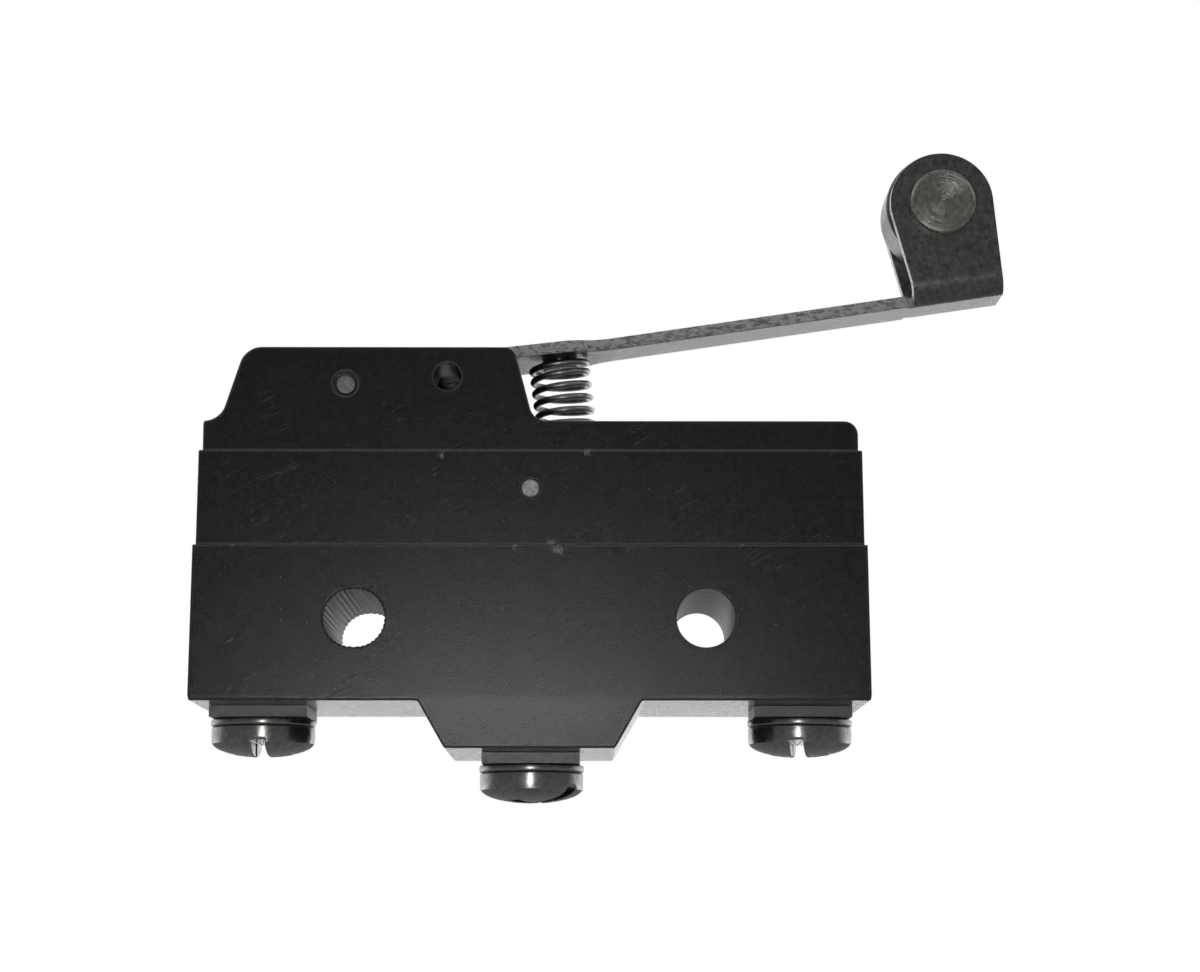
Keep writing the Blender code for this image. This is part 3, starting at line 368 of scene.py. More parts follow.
def pick(kind, test):
    """In edit mode, select only the vertices, edges or faces that pass a test."""
    piece = bpy.context.edit_object
    bpy.ops.mesh.select_mode(type=kind)
    bpy.ops.mesh.select_all(action="DESELECT")
    shape = bmesh.from_edit_mesh(piece.data)
    items = {"VERT": shape.verts, "EDGE": shape.edges, "FACE": shape.faces}[kind]
    chosen = [item for item in items if test(item)]
    if not chosen:
        raise RuntimeError("nothing to select on " + piece.name)
    for item in chosen:
        item.select_set(True)
    bmesh.update_edit_mesh(piece.data)


def extrude(move):
    bpy.ops.mesh.extrude_region_move(TRANSFORM_OT_translate={"value": tuple(move)})


def shift(move):
    bpy.ops.transform.translate(value=tuple(move))


def resize(factors, centre):
    bpy.ops.transform.resize(value=tuple(factors), center_override=tuple(centre))


def slice_at(place, direction):
    """Cut new edges through the whole shape along a plane."""
    bpy.ops.mesh.select_all(action="SELECT")
    bpy.ops.mesh.bisect(plane_co=tuple(place), plane_no=tuple(direction))


def bevel(offset, segments=4, kind="EDGES"):
    bpy.ops.mesh.bevel(offset=offset, offset_type="OFFSET", segments=segments, affect=kind,
                       clamp_overlap=False)


def turn_between(edge):
    """The angle between an edge's two faces, or zero at a border."""
    return edge.calc_face_angle(0.0)


def round_edges(radius, test, segments=4):
    """Round the chosen edges, all of one angle, to a radius."""
    angles = []

    def noted(edge):
        wanted = test(edge)
        if wanted:
            angles.append(turn_between(edge))
        return wanted

    pick("EDGE", noted)
    bevel(radius * math.tan(angles[0] / 2), segments)


def ease_edges(radius, levels, fine, concave=False):
    """Round every sharp edge, and those that lie flat at the given levels more finely."""

    def at_level(edge):
        return any(abs(vertex.co.z - level) < TINY for level in levels
                   for vertex in edge.verts[:1]) and flat(edge)

    def flat(edge):
        return abs(edge.verts[0].co.z - edge.verts[1].co.z) < TINY

    def sharp(edge):
        return turn_between(edge) > SHARP and (concave or edge.is_convex)

    pick("EDGE", lambda edge: sharp(edge) and not at_level(edge))
    bevel(radius)
    pick("EDGE", lambda edge: sharp(edge) and at_level(edge))
    bevel(fine, 3)


def tidy_flats():
    """Merge doubles and dissolve the edges between faces that lie in one plane."""
    bpy.ops.mesh.select_all(action="SELECT")
    bpy.ops.mesh.remove_doubles(threshold=MERGE)
    bpy.ops.mesh.dissolve_limited(angle_limit=math.radians(0.2))


def apply(piece, kind, **settings):
    """Add a modifier with its settings and apply it."""
    only(piece)
    step = piece.modifiers.new(kind.lower(), kind)
    for key, value in settings.items():
        setattr(step, key, value)
    bpy.ops.object.modifier_apply(modifier=step.name)


def join(piece, other, operation="UNION"):
    apply(piece, "BOOLEAN", object=other, operation=operation, solver="EXACT")
    bpy.data.meshes.remove(other.data)


def cut(piece, cutter):
    join(piece, cutter, "DIFFERENCE")


def copy_of(piece, name):
    """A copy with its own mesh."""
    made = piece.copy()
    made.data = piece.data.copy()
    made.name = name
    made.data.name = name
    bpy.context.scene.collection.objects.link(made)
    return made


def arc(centre, radius, start, end, steps):
    """Points of an arc in a profile; the angles are in degrees from the profile's first axis."""
    points = []
    for step in range(steps + 1):
        turn = math.radians(start + (end - start) * step / steps)
        points.append((centre[0] + radius * math.cos(turn), centre[1] + radius * math.sin(turn)))
    return points


def spun(name, profile, centre, axis, sides=ROUND_SIDES, closed=False):
    """Turn a profile of (radius, height) points about an axis through a point."""
    across = ALONG_X if abs(axis.x) < 0.5 else ALONG_Z
    places = [centre + across * radius + axis * height for radius, height in profile]
    if closed:
        places.append(places[0])
    bpy.ops.object.select_all(action="DESELECT")
    bpy.ops.mesh.primitive_plane_add(size=MM, location=places[0])
    piece = named(name)
    settle(piece)
    edit(piece)
    bpy.ops.mesh.merge(type="CENTER")
    for here, there in zip(places, places[1:]):
        extrude(there - here)
    bpy.ops.mesh.select_all(action="SELECT")
    bpy.ops.mesh.spin(steps=sides, angle=math.tau, center=tuple(centre), axis=tuple(axis))
    bpy.ops.mesh.select_all(action="SELECT")
    bpy.ops.mesh.remove_doubles(threshold=MERGE)
    bpy.ops.mesh.normals_make_consistent(inside=False)
    leave()
    if len(piece.data.polygons) < sides:
        raise RuntimeError("the profile of " + name + " was not turned")
    return piece


def mirrored(upper):
    """A whole profile from its upper half."""
    return upper + [(radius, -height) for radius, height in reversed(upper)]


def rounded_corner(radius, height, edge, steps):
    """The rounded outer corner of a turned profile, from its top outwards."""
    return list(reversed(arc((radius - edge, height - edge), edge, 0, 90, steps)))


def drill(name, diameter, place, faces, rim, sides=ROUND_SIDES):
    """A cutter along Y through two faces, flared where it meets them."""
    radius = diameter / 2
    half = (faces[1] - faces[0]) / 2
    flare = [(radius + rim - x, half - rim + y) for x, y in arc((0, 0), rim, 0, 90, 3)]
    upper = [(0.0, half + MM), (radius + rim, half + MM)] + list(reversed(flare))
    centre = Vector((place.x, faces[0] + half, place.z))
    return spun(name, mirrored(upper), centre, ALONG_Y, sides)


def refined(node, name, radius):
    """A copy of a frame node with its loose triangles merged and its edges rounded."""
    piece = copy_of(frame["nodes"][node], name)
    piece.parent = None
    piece.matrix_world = Matrix.Identity(4)
    piece.data.materials.clear()
    for key in list(piece.keys()):
        del piece[key]
    edit(piece)
    tidy_flats()
    leave()
    apply(piece, "BEVEL", width=radius, segments=2, limit_method="ANGLE", angle_limit=SHARP,
          use_clamp_overlap=True)
    return piece


def finished(piece, body, materials, nodes, smooth=SMOOTH):
    """Shade a piece, dress it, tie it to its body and hide the nodes that it stands for."""
    only(piece)
    bpy.ops.object.shade_smooth_by_angle(angle=smooth)
    apply(piece, "WEIGHTED_NORMAL", keep_sharp=True, weight=80)
    if not piece.data.materials:
        for material in materials:
            piece.data.materials.append(material)
    else:
        for index, material in enumerate(materials):
            piece.data.materials[index] = material
    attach(piece, body)
    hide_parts(*nodes)


# Finishes

def add(tree, kind, **settings):
    """A new shader node with its settings."""
    made = tree.nodes.new("ShaderNode" + kind)
    for key, value in settings.items():
        setattr(made, key, value)
    return made


def feed(tree, source, target, socket):
    """Link a node's first output, or a given output socket, to a named or numbered input."""
    output = source.outputs[0] if hasattr(source, "outputs") else source
    tree.links.new(output, target.inputs[socket])


def maths(tree, operation, first, second=None, clamp=False):
    """A Math node on sockets or numbers."""
    made = add(tree, "Math", operation=operation, use_clamp=clamp)
    for index, value in enumerate((first, second)):
        if value is None:
            continue
        if isinstance(value, (int, float)):
            made.inputs[index].default_value = value
        else:
            tree.links.new(value, made.inputs[index])
    return made.outputs[0]


def spread(tree, value, low, high, start=0.0, end=1.0):
    """Map a value from one range to another, clamped."""
    made = add(tree, "MapRange")
    made.inputs["From Min"].default_value = low
    made.inputs["From Max"].default_value = high
    made.inputs["To Min"].default_value = start
    made.inputs["To Max"].default_value = end
    tree.links.new(value, made.inputs["Value"])
    return made.outputs["Result"]


def noise(tree, vector, scale, detail=2.0, roughness=0.5):
    made = add(tree, "TexNoise")
    if isinstance(scale, (int, float)):
        made.inputs["Scale"].default_value = scale
    else:
        tree.links.new(scale, made.inputs["Scale"])
    made.inputs["Detail"].default_value = detail
    made.inputs["Roughness"].default_value = roughness
    tree.links.new(vector, made.inputs["Vector"])
    return made.outputs["Fac"]


def new_group(name, inputs, outputs):
    """An empty shader node group with named sockets, and its two end nodes."""
    group = bpy.data.node_groups.new(name, "ShaderNodeTree")
    for title, kind, default in inputs:
        socket = group.interface.new_socket(title, in_out="INPUT", socket_type="NodeSocket" + kind)
        if default is not None:
            socket.default_value = default
    for title, kind in outputs:
        group.interface.new_socket(title, in_out="OUTPUT", socket_type="NodeSocket" + kind)
    return group, group.nodes.new("NodeGroupInput"), group.nodes.new("NodeGroupOutput")


def grain_group():
    """Fine moulded or blasted grain: a height and a light and dark mottle."""
    group, start, end = new_group(
        "Surface Grain",
        [("Vector", "Vector", None), ("Scale", "Float", 6000.0), ("Mottle Scale", "Float", 400.0)],
        [("Height", "Float"), ("Mottle", "Float"), ("Specks", "Float")])
    vector = start.outputs["Vector"]
    fine = noise(group, vector, start.outputs["Scale"], 3.0, 0.65)
    coarse = noise(group, vector, start.outputs["Mottle Scale"], 4.0, 0.6)
    feed(group, fine, end, "Height")
    feed(group, spread(group, fine, 0.60, 0.72), end, "Specks")
    feed(group, spread(group, coarse, 0.32, 0.68), end, "Mottle")
    return group


def wear_group():
    """Edges that handling has rubbed, broken up by noise."""
    group, start, end = new_group(
        "Edge Wear",
        [("Vector", "Vector", None), ("Radius", "Float", 0.0003), ("Amount", "Float", 0.5),
         ("Break-up Scale", "Float", 900.0)],
        [("Mask", "Float")])
    rounded = add(group, "Bevel", samples=6)
    feed(group, start.outputs["Radius"], rounded, "Radius")
    plain = add(group, "NewGeometry")
    likeness = add(group, "VectorMath", operation="DOT_PRODUCT")
    feed(group, rounded, likeness, 0)
    feed(group, plain.outputs["Normal"], likeness, 1)
    edge = maths(group, "SUBTRACT", 1.0, likeness.outputs["Value"], clamp=True)
    edge = spread(group, edge, 0.004, 0.06)
    patches = noise(group, start.outputs["Vector"], start.outputs["Break-up Scale"], 5.0, 0.7)
    limit = maths(group, "SUBTRACT", 0.85, maths(group, "MULTIPLY", start.outputs["Amount"], 0.6))
    broken = add(group, "MapRange")
    feed(group, patches, broken, "Value")
    feed(group, maths(group, "SUBTRACT", limit, 0.3), broken, "From Min")
    feed(group, limit, broken, "From Max")
    feed(group, maths(group, "MULTIPLY", edge, broken.outputs["Result"]), end, "Mask")
    return group


def scratch_group():
    """Thin scratches along one direction, in patches."""
    group, start, end = new_group(
        "Scratches",
        [("Vector", "Vector", None), ("Scale", "Float", 5000.0), ("Stretch", "Vector", (0.05, 1, 1)),
         ("Turn", "Vector", (0.0, 0.5, 0.0)), ("Cover", "Float", 0.4)],
        [("Mask", "Float")])
    laid = add(group, "Mapping")
    feed(group, start.outputs["Vector"], laid, "Vector")
    feed(group, start.outputs["Turn"], laid, "Rotation")
    drawn = add(group, "VectorMath", operation="MULTIPLY")
    feed(group, laid, drawn, 0)
    feed(group, start.outputs["Stretch"], drawn, 1)
    lines = noise(group, drawn.outputs[0], start.outputs["Scale"], 2.0, 0.5)
    thin = spread(group, lines, 0.60, 0.66)
    patches = noise(group, start.outputs["Vector"], 260.0, 2.0, 0.5)
    limit = maths(group, "SUBTRACT", 1.0, start.outputs["Cover"])
    shown = spread(group, maths(group, "SUBTRACT", patches, maths(group, "MULTIPLY", limit, 0.9)),
                   0.0, 0.15)
    feed(group, maths(group, "MULTIPLY", thin, shown), end, "Mask")
    return group


def dust_group():
    """Specks of dust, denser in some places than in others."""
    group, start, end = new_group(
        "Dust",
        [("Vector", "Vector", None), ("Speck Scale", "Float", 4200.0), ("Amount", "Float", 0.3)],
        [("Mask", "Float")])
    vector = start.outputs["Vector"]
    cells = add(group, "TexVoronoi", feature="F1")
    feed(group, vector, cells, "Vector")
    feed(group, start.outputs["Speck Scale"], cells, "Scale")
    speck = spread(group, cells.outputs["Distance"], 0.10, 0.22, 1.0, 0.0)
    places = spread(group, noise(group, vector, 180.0, 4.0, 0.7), 0.5, 0.75)
    picked = maths(group, "LESS_THAN", cells.outputs["Color"], start.outputs["Amount"])
    feed(group, maths(group, "MULTIPLY", maths(group, "MULTIPLY", speck, picked), places),
         end, "Mask")
    return group


def rings_group():
    """Fine turned rings about the local Y axis."""
    group, start, end = new_group(
        "Turned Rings",
        [("Vector", "Vector", None), ("Rings Per Metre", "Float", 9000.0)],
        [("Height", "Float")])
    flat = add(group, "VectorMath", operation="MULTIPLY")
    feed(group, start.outputs["Vector"], flat, 0)
    flat.inputs[1].default_value = (1.0, 0.0, 1.0)
    reach = add(group, "VectorMath", operation="LENGTH")
    feed(group, flat, reach, 0)
    lathe = add(group, "TexNoise", noise_dimensions="1D")
    feed(group, maths(group, "MULTIPLY", reach.outputs["Value"], start.outputs["Rings Per Metre"]),
         lathe, "W")
    lathe.inputs["Scale"].default_value = 1.0
    lathe.inputs["Detail"].default_value = 3.0
    feed(group, lathe.outputs["Fac"], end, "Height")
    return group


GROUPS = {}


def make_groups():
    GROUPS["grain"] = grain_group()
    GROUPS["wear"] = wear_group()
    GROUPS["scratches"] = scratch_group()
    GROUPS["dust"] = dust_group()
    GROUPS["rings"] = rings_group()


def place_group(tree, name, vector, **values):
    """A group node on a vector, with its named inputs set."""
    made = tree.nodes.new("ShaderNodeGroup")
    made.node_tree = GROUPS[name]
    tree.links.new(vector, made.inputs["Vector"])
    for title, value in values.items():
        made.inputs[title.replace("_", " ")].default_value = value
    return made


def new_material(name, centre=(0.0, 0.0, 0.0)):
    """A material with a Principled BSDF; its vector is Object coordinates from a centre."""
    material = bpy.data.materials.new(name)
    material.use_nodes = True
    tree = material.node_tree
    shader = tree.nodes["Principled BSDF"]
    coordinates = add(tree, "TexCoord")
    centred = add(tree, "Mapping")
    centred.inputs["Location"].default_value = [-part for part in centre]
    feed(tree, coordinates.outputs["Object"], centred, "Vector")
    return material, tree, shader, centred.outputs[0]


def mixed(tree, mask, first, second):
    """Two colours, each a socket or a value, mixed by a mask."""
    made = add(tree, "Mix", data_type="RGBA")
    feed(tree, mask, made, 0)
    for index, value in ((6, first), (7, second)):
        if isinstance(value, bpy.types.NodeSocket):
            tree.links.new(value, made.inputs[index])
        else:
            made.inputs[index].default_value = (*value, 1.0)
    return made.outputs[2]


def bump(tree, shader, height, distance, strength=1.0, before=None):
    made = add(tree, "Bump")
    made.inputs["Distance"].default_value = distance
    made.inputs["Strength"].default_value = strength
    feed(tree, height, made, "Height")
    if before is not None:
        feed(tree, before, made, "Normal")
    feed(tree, made, shader, "Normal")
    return made.outputs["Normal"]


def scaled(value, factor):
    return tuple(min(part * factor, 1.0) for part in value)


def phenolic(name, finish, dusty=0.3, chips=()):
    """Satin moulded phenolic with grain, rubbed edges, fine scratches, dust and a few chips."""
    material, tree, shader, vector = new_material(name)
    grain = place_group(tree, "grain", vector, Scale=8500.0, Mottle_Scale=1500.0)
    worn = place_group(tree, "wear", vector, Radius=0.00026, Amount=finish.wear)
    lines = place_group(tree, "scratches", vector, Cover=0.40)
    dust = place_group(tree, "dust", vector, Amount=dusty)
    base = mixed(tree, grain.outputs["Mottle"], scaled(finish.case, 0.7), scaled(finish.case, 1.2))
    base = mixed(tree, maths(tree, "MULTIPLY", grain.outputs["Specks"], 0.22), base, finish.case_worn)
    base = mixed(tree, maths(tree, "MULTIPLY", lines.outputs["Mask"], 0.10), base, finish.case_worn)
    base = mixed(tree, maths(tree, "MULTIPLY", worn.outputs["Mask"], 0.9), base, finish.case_worn)
    base = mixed(tree, maths(tree, "MULTIPLY", dust.outputs["Mask"], 0.35), base, finish.dust)
    crumbs = noise(tree, vector, 3200.0, 5.0, 0.8)
    for place, reach in chips:
        away = add(tree, "VectorMath", operation="DISTANCE")
        feed(tree, vector, away, 0)
        away.inputs[1].default_value = place
        near = spread(tree, away.outputs["Value"], 0.0, reach, 0.22, -0.1)
        chip = spread(tree, maths(tree, "ADD", crumbs, near), 0.58, 0.66)
        base = mixed(tree, chip, base, finish.dust)
    feed(tree, base, shader, "Base Color")
    rough = spread(tree, grain.outputs["Mottle"], 0.0, 1.0, 0.18, 0.23)
    feed(tree, maths(tree, "ADD", rough, maths(tree, "MULTIPLY", lines.outputs["Mask"], 0.1)),
         shader, "Roughness")
    shader.inputs["IOR"].default_value = 1.6
    bump(tree, shader, grain.outputs["Height"], 14 * MICRON, 1.0)
    return material


def hole_walls_painted_light(name, finish):
    """Rough, dull phenolic inside the holes, four to nine times lighter than the case: painted light on
    the hole walls.
    """
    material, tree, shader, vector = new_material(name)
    grain = place_group(tree, "grain", vector, Scale=5000.0, Mottle_Scale=900.0)
    # The lighter colour of the hole walls is painted light.
    base = mixed(tree, grain.outputs["Mottle"], scaled(finish.case, 4.0), scaled(finish.case, 9.0))
    feed(tree, base, shader, "Base Color")
    shader.inputs["Roughness"].default_value = 0.42
    bump(tree, shader, grain.outputs["Height"], 80 * MICRON, 1.0)
    return material


def dress_walls(piece, skin, axes, faces):
    """Make two material slots, the second for the walls of the holes round the given axes."""
    piece.data.materials.append(skin)
    piece.data.materials.append(skin)
    for polygon in piece.data.polygons:
        if not faces[0] < polygon.center.y < faces[1]:
            continue
        for x, z, reach in axes:
            if math.hypot(polygon.center.x - x, polygon.center.z - z) < reach:
                polygon.material_index = 1


def metal(name, tint, rough, centre=(0.0, 0.0, 0.0), grain=1 * MICRON, stretch=None, turn=None,
          scratched=0.25, rings=0.0, mottle=0.06, worn_light=1.5):
    """Metal with mottled gloss, fine grain, directed scratches and, if wanted, turned rings."""
    material, tree, shader, vector = new_material(name, centre)
    shader.inputs["Metallic"].default_value = 1.0
    fine = place_group(tree, "grain", vector, Scale=9000.0, Mottle_Scale=2600.0)
    lines = place_group(tree, "scratches", vector, Cover=0.55)
    if stretch:
        lines.inputs["Stretch"].default_value = stretch
    if turn:
        lines.inputs["Turn"].default_value = turn
    worn = place_group(tree, "wear", vector, Radius=0.0001, Amount=0.6)
    base = mixed(tree, fine.outputs["Mottle"], scaled(tint, 1 - mottle), scaled(tint, 1 + mottle))
    base = mixed(tree, maths(tree, "MULTIPLY", lines.outputs["Mask"], scratched), base,
                 scaled(tint, 1.6))
    base = mixed(tree, maths(tree, "MULTIPLY", worn.outputs["Mask"], 0.5), base,
                 scaled(tint, worn_light))
    feed(tree, base, shader, "Base Color")
    uneven = spread(tree, fine.outputs["Mottle"], 0.0, 1.0, rough * 0.85, rough * 1.2)
    feed(tree, uneven, shader, "Roughness")
    normal = bump(tree, shader, fine.outputs["Height"], grain)
    normal = bump(tree, shader, lines.outputs["Mask"], 1.5 * MICRON, scratched, normal)
    if rings:
        turned = place_group(tree, "rings", vector)
        bump(tree, shader, turned.outputs["Height"], rings, 1.0, normal)
    return material


def sheared_metal(name, tint):
    """A sheared edge: bright and dark torn metal, drawn out along the sheet."""
    material, tree, shader, vector = new_material(name)
    shader.inputs["Metallic"].default_value = 1.0
    drawn = add(tree, "VectorMath", operation="MULTIPLY")
    feed(tree, vector, drawn, 0)
    drawn.inputs[1].default_value = (0.35, 1.0, 1.0)
    torn = noise(tree, drawn.outputs[0], 4200.0, 6.0, 0.8)
    bright = spread(tree, torn, 0.42, 0.52)
    base = mixed(tree, bright, scaled(tint, 0.4), tint)
    feed(tree, base, shader, "Base Color")
    feed(tree, spread(tree, torn, 0.3, 0.7, 0.4, 0.6), shader, "Roughness")
    bump(tree, shader, torn, 0.00012, 1.0)
    return material


# Operators

class SWITCH_OT_stage(bpy.types.Operator):
    """Make the floor, the world, the lights and the camera"""
    bl_idname = "switch.stage"
    bl_label = "Stage"

    def execute(self, context):
        stage = context.scene.switch_stage
        self.floor(stage)
        self.world(context)
        self.camera(context, stage)
        self.lights(stage)
        context.scene.view_settings.view_transform = "Standard"
        return {"FINISHED"}

    def floor(self, stage):
        bpy.ops.object.select_all(action="DESELECT")
        bpy.ops.mesh.primitive_plane_add(size=stage.floor_size, location=(0, 0, -stage.floor_drop))
        floor = named("floor")
        settle(floor)
        material, tree, shader, vector = new_material("floor paper")
        tone = spread(tree, noise(tree, vector, 30.0), 0.3, 0.7)
        feed(tree, mixed(tree, tone, scaled(stage.floor_colour, 0.3), scaled(stage.floor_colour, 0.32)),
             shader, "Base Color")
        shader.inputs["Roughness"].default_value = 0.9
        parts = add(tree, "SeparateXYZ")
        feed(tree, vector, parts, 0)
        path = add(tree, "LightPath")
        behind = spread(tree, parts.outputs["Y"], 260 * MM, 520 * MM, 0.03, stage.floor_glow)
        glow = add(tree, "Mix")
        feed(tree, path.outputs["Is Camera Ray"], glow, 0)
        feed(tree, behind, glow, 2)
        glow.inputs[3].default_value = 0.97
        shader.inputs["Emission Color"].default_value = (1.0, 1.0, 1.0, 1.0)
        feed(tree, glow, shader, "Emission Strength")
        floor.data.materials.append(material)

    def world(self, context):
        """White to the camera; dim in front of the switch and bright above and behind it."""
        world = bpy.data.worlds.new("studio")
        world.use_nodes = True
        tree = world.node_tree
        light = tree.nodes["Background"]
        place = add(tree, "TexCoord")
        parts = add(tree, "SeparateXYZ")
        feed(tree, place.outputs["Generated"], parts, 0)
        glow = spread(tree, parts.outputs["Y"], 0.0, 0.75, 0.12, 0.9)
        above = spread(tree, parts.outputs["Z"], 0.3, 0.95, 0.0, 0.25)
        feed(tree, maths(tree, "MAXIMUM", glow, above), light, "Strength")
        white = add(tree, "Background")
        white.inputs["Strength"].default_value = 1.0
        white.inputs["Color"].default_value = (1.0, 1.0, 1.0, 1.0)
        light.inputs["Color"].default_value = (1.0, 1.0, 1.0, 1.0)
        path = add(tree, "LightPath")
        both = add(tree, "MixShader")
        feed(tree, path.outputs["Is Camera Ray"], both, 0)
        feed(tree, light, both, 1)
        feed(tree, white, both, 2)
        feed(tree, both, tree.nodes["World Output"], "Surface")
        context.scene.world = world

    def camera(self, context, stage):
        view = bpy.data.cameras.new("camera")
        view.lens = stage.lens
        view.sensor_width = 36.0
        view.clip_start = 1.0 * MM
        view.clip_end = 10.0
        camera = bpy.data.objects.new("camera", view)
        camera.location = stage.camera_place
        camera.rotation_euler = stage.camera_turn
        context.scene.collection.objects.link(camera)
        context.scene.camera = camera

    def lights(self, stage):
        """A small flash beside the camera and two large soft panels."""
        target = Vector((5.0 * MM, MIDDLE_Y, 8.0 * MM))
        for name, place, size, power in (
                ("flash", (-8 * MM, -227 * MM, -15 * MM), 8 * MM, stage.flash_power),
                ("left_panel", (-330 * MM, -150 * MM, 300 * MM), 260 * MM, 0.12),
                ("right_panel", (360 * MM, -90 * MM, 260 * MM), 240 * MM, 0.08),
                ("rear_panel", (40 * MM, 420 * MM, 300 * MM), 360 * MM, 0.4)):
            light = bpy.data.lights.new(name, "AREA")
            light.size = size
            light.energy = power
            lamp = bpy.data.objects.new(name, light)
            lamp.location = place
            lamp.rotation_euler = (target - Vector(place)).to_track_quat("-Z", "Y").to_euler()
            bpy.context.scene.collection.objects.link(lamp)


class SWITCH_OT_base(bpy.types.Operator):
    """Model the lower case with its foot, mounting holes, cavity and sockets"""
    bl_idname = "switch.base"
    bl_label = "Case Base"

    def execute(self, context):
        s = context.scene.switch_base
        floor = BASE_LOW.z + s.foot_height
        base = block("case_base", (BASE_LOW.x, BASE_LOW.y, floor), (BASE_HIGH.x, BASE_HIGH.y,
                                                                         BASE_SEAM))
        self.shape(base, s, floor)
        self.hollow(base, s, context.scene.switch_terminals)
        self.mounting_holes(base, s)
        cut(base, rod("pin_hole", context.scene.switch_cover.pin_bore,
                      (0, BASE_LOW.y, context.scene.switch_cover.pin_height),
                      (0, BASE_HIGH.y, context.scene.switch_cover.pin_height), 24))
        finish = context.scene.switch_finish
        chips = (((2.0 * MM, BASE_LOW.y, BASE_SEAM - 0.3 * MM), 0.9 * MM),
                 ((-1.2 * MM, BASE_LOW.y, BASE_SEAM), 0.6 * MM),
                 ((15.4 * MM, BASE_LOW.y, BASE_SEAM), 0.5 * MM),
                 ((-21.5 * MM, BASE_LOW.y, BASE_SEAM), 0.5 * MM))
        skin = phenolic("moulded phenolic, base", finish, 0.34, chips)
        reach = s.hole_diameter / 2 + s.hole_stretch + 0.05 * MM
        inside = [(side * s.hole_pitch / 2, 0.0, reach) for side in (-1, 1)]
        dress_walls(base, skin, inside,
                    (BASE_LOW.y + 2 * s.rim_round, BASE_HIGH.y - 2 * s.rim_round))
        finished(base, "case", [skin, hole_walls_painted_light("phenolic in the mounting holes", finish)],
                 ["base"])
        return {"FINISHED"}

    def shape(self, base, s, floor):
        """Draft, foot, rounded edges and the step at the parting line."""
        half_length = BASE_HIGH.x
        half_depth = BASE_HIGH.y - MIDDLE_Y
        edit(base)
        pick("FACE", lambda face: face.normal.z > 0.9)
        resize((1 - s.draft / half_length, 1, 1), MIDDLE)
        for side in (-1, 1):
            slice_at((side * s.foot_top, 0, 0), ALONG_X)
        pick("FACE", lambda face: face.normal.z < -0.9 and abs(middle(face).x) < s.foot_top)
        extrude((0, 0, -s.foot_height))
        resize((s.foot_bottom / s.foot_top, 1, 1), MIDDLE)
        ease_edges(s.edge_round, (BASE_SEAM,), s.seam_round, concave=True)
        line = floor + s.parting_height
        for height in (line + s.parting_step / 2, line - s.parting_step / 2):
            slice_at((0, 0, height), ALONG_Z)
        pick("VERT", lambda vertex: vertex.co.z < line)
        resize((1 - s.parting_step / half_length, 1 - s.parting_step / half_depth, 1), MIDDLE)
        leave()

    def hollow(self, base, s, terminals):
        """The cavity, the two upstands and the terminals' sockets."""
        inner_x = BASE_HIGH.x - s.end_wall
        low_y = BASE_LOW.y + s.wall
        high_y = BASE_HIGH.y - s.wall
        cut(base, block("cavity", (-inner_x, low_y, s.cavity_floor),
                        (inner_x, high_y, BASE_SEAM + MM)))
        inset = s.wall + 0.15 * MM
        for near, far in ((BASE_LOW.y + inset, BASE_LOW.y + inset + s.upstand_thickness),
                          (BASE_HIGH.y - inset - s.upstand_thickness, BASE_HIGH.y - inset)):
            half = s.upstand_width / 2
            join(base, block("upstand", (-half, near, s.cavity_floor - MM),
                             (half, far, BASE_HIGH.z)))
        for kind in TERMINALS:
            low, high = corners("washer_" + kind)
            x = (low.x + high.x) / 2
            seat = high.z + 0.86 * MM
            cut(base, rod("socket", terminals.socket, (x, MIDDLE_Y, seat - MM),
                          (x, MIDDLE_Y, seat + terminals.socket_depth), 40))
            half = (0.45 if kind == "normally_closed" else 1.65) * MM
            cut(base, block("post_hole", (x - half, MIDDLE_Y - 2.55 * MM, seat + MM),
                            (x + half, MIDDLE_Y + 2.55 * MM, BASE_SEAM + MM)))

    def mounting_holes(self, base, s):
        """A round hole on the right, and a slotted, ribbed one on the left."""
        faces = (BASE_LOW.y, BASE_HIGH.y)
        radius = s.hole_diameter / 2
        right = s.hole_pitch / 2
        cut(base, drill("round_hole", s.hole_diameter, Vector((right, 0, 0)), faces, s.rim_round, 72))
        slotted = drill("slotted_hole", s.hole_diameter, Vector((-right, 0, 0)), faces, s.rim_round,
                        72)
        edit(slotted)

        def on_rib(vertex):
            across = vertex.co.x + right
            turns = math.atan2(vertex.co.z, across) / math.tau * 72
            return round(turns) % 2 == 1 and math.hypot(across, vertex.co.z) < radius + TINY

        pick("VERT", on_rib)
        inward = 1 - s.rib_depth / radius
        resize((inward, 1, inward), (-right, MIDDLE_Y, 0))
        for side in (-1, 1):
            pick("VERT", lambda vertex: side * (vertex.co.x + right) > TINY)
            shift((side * s.hole_stretch / 2, 0, 0))
        leave()
        cut(base, slotted)


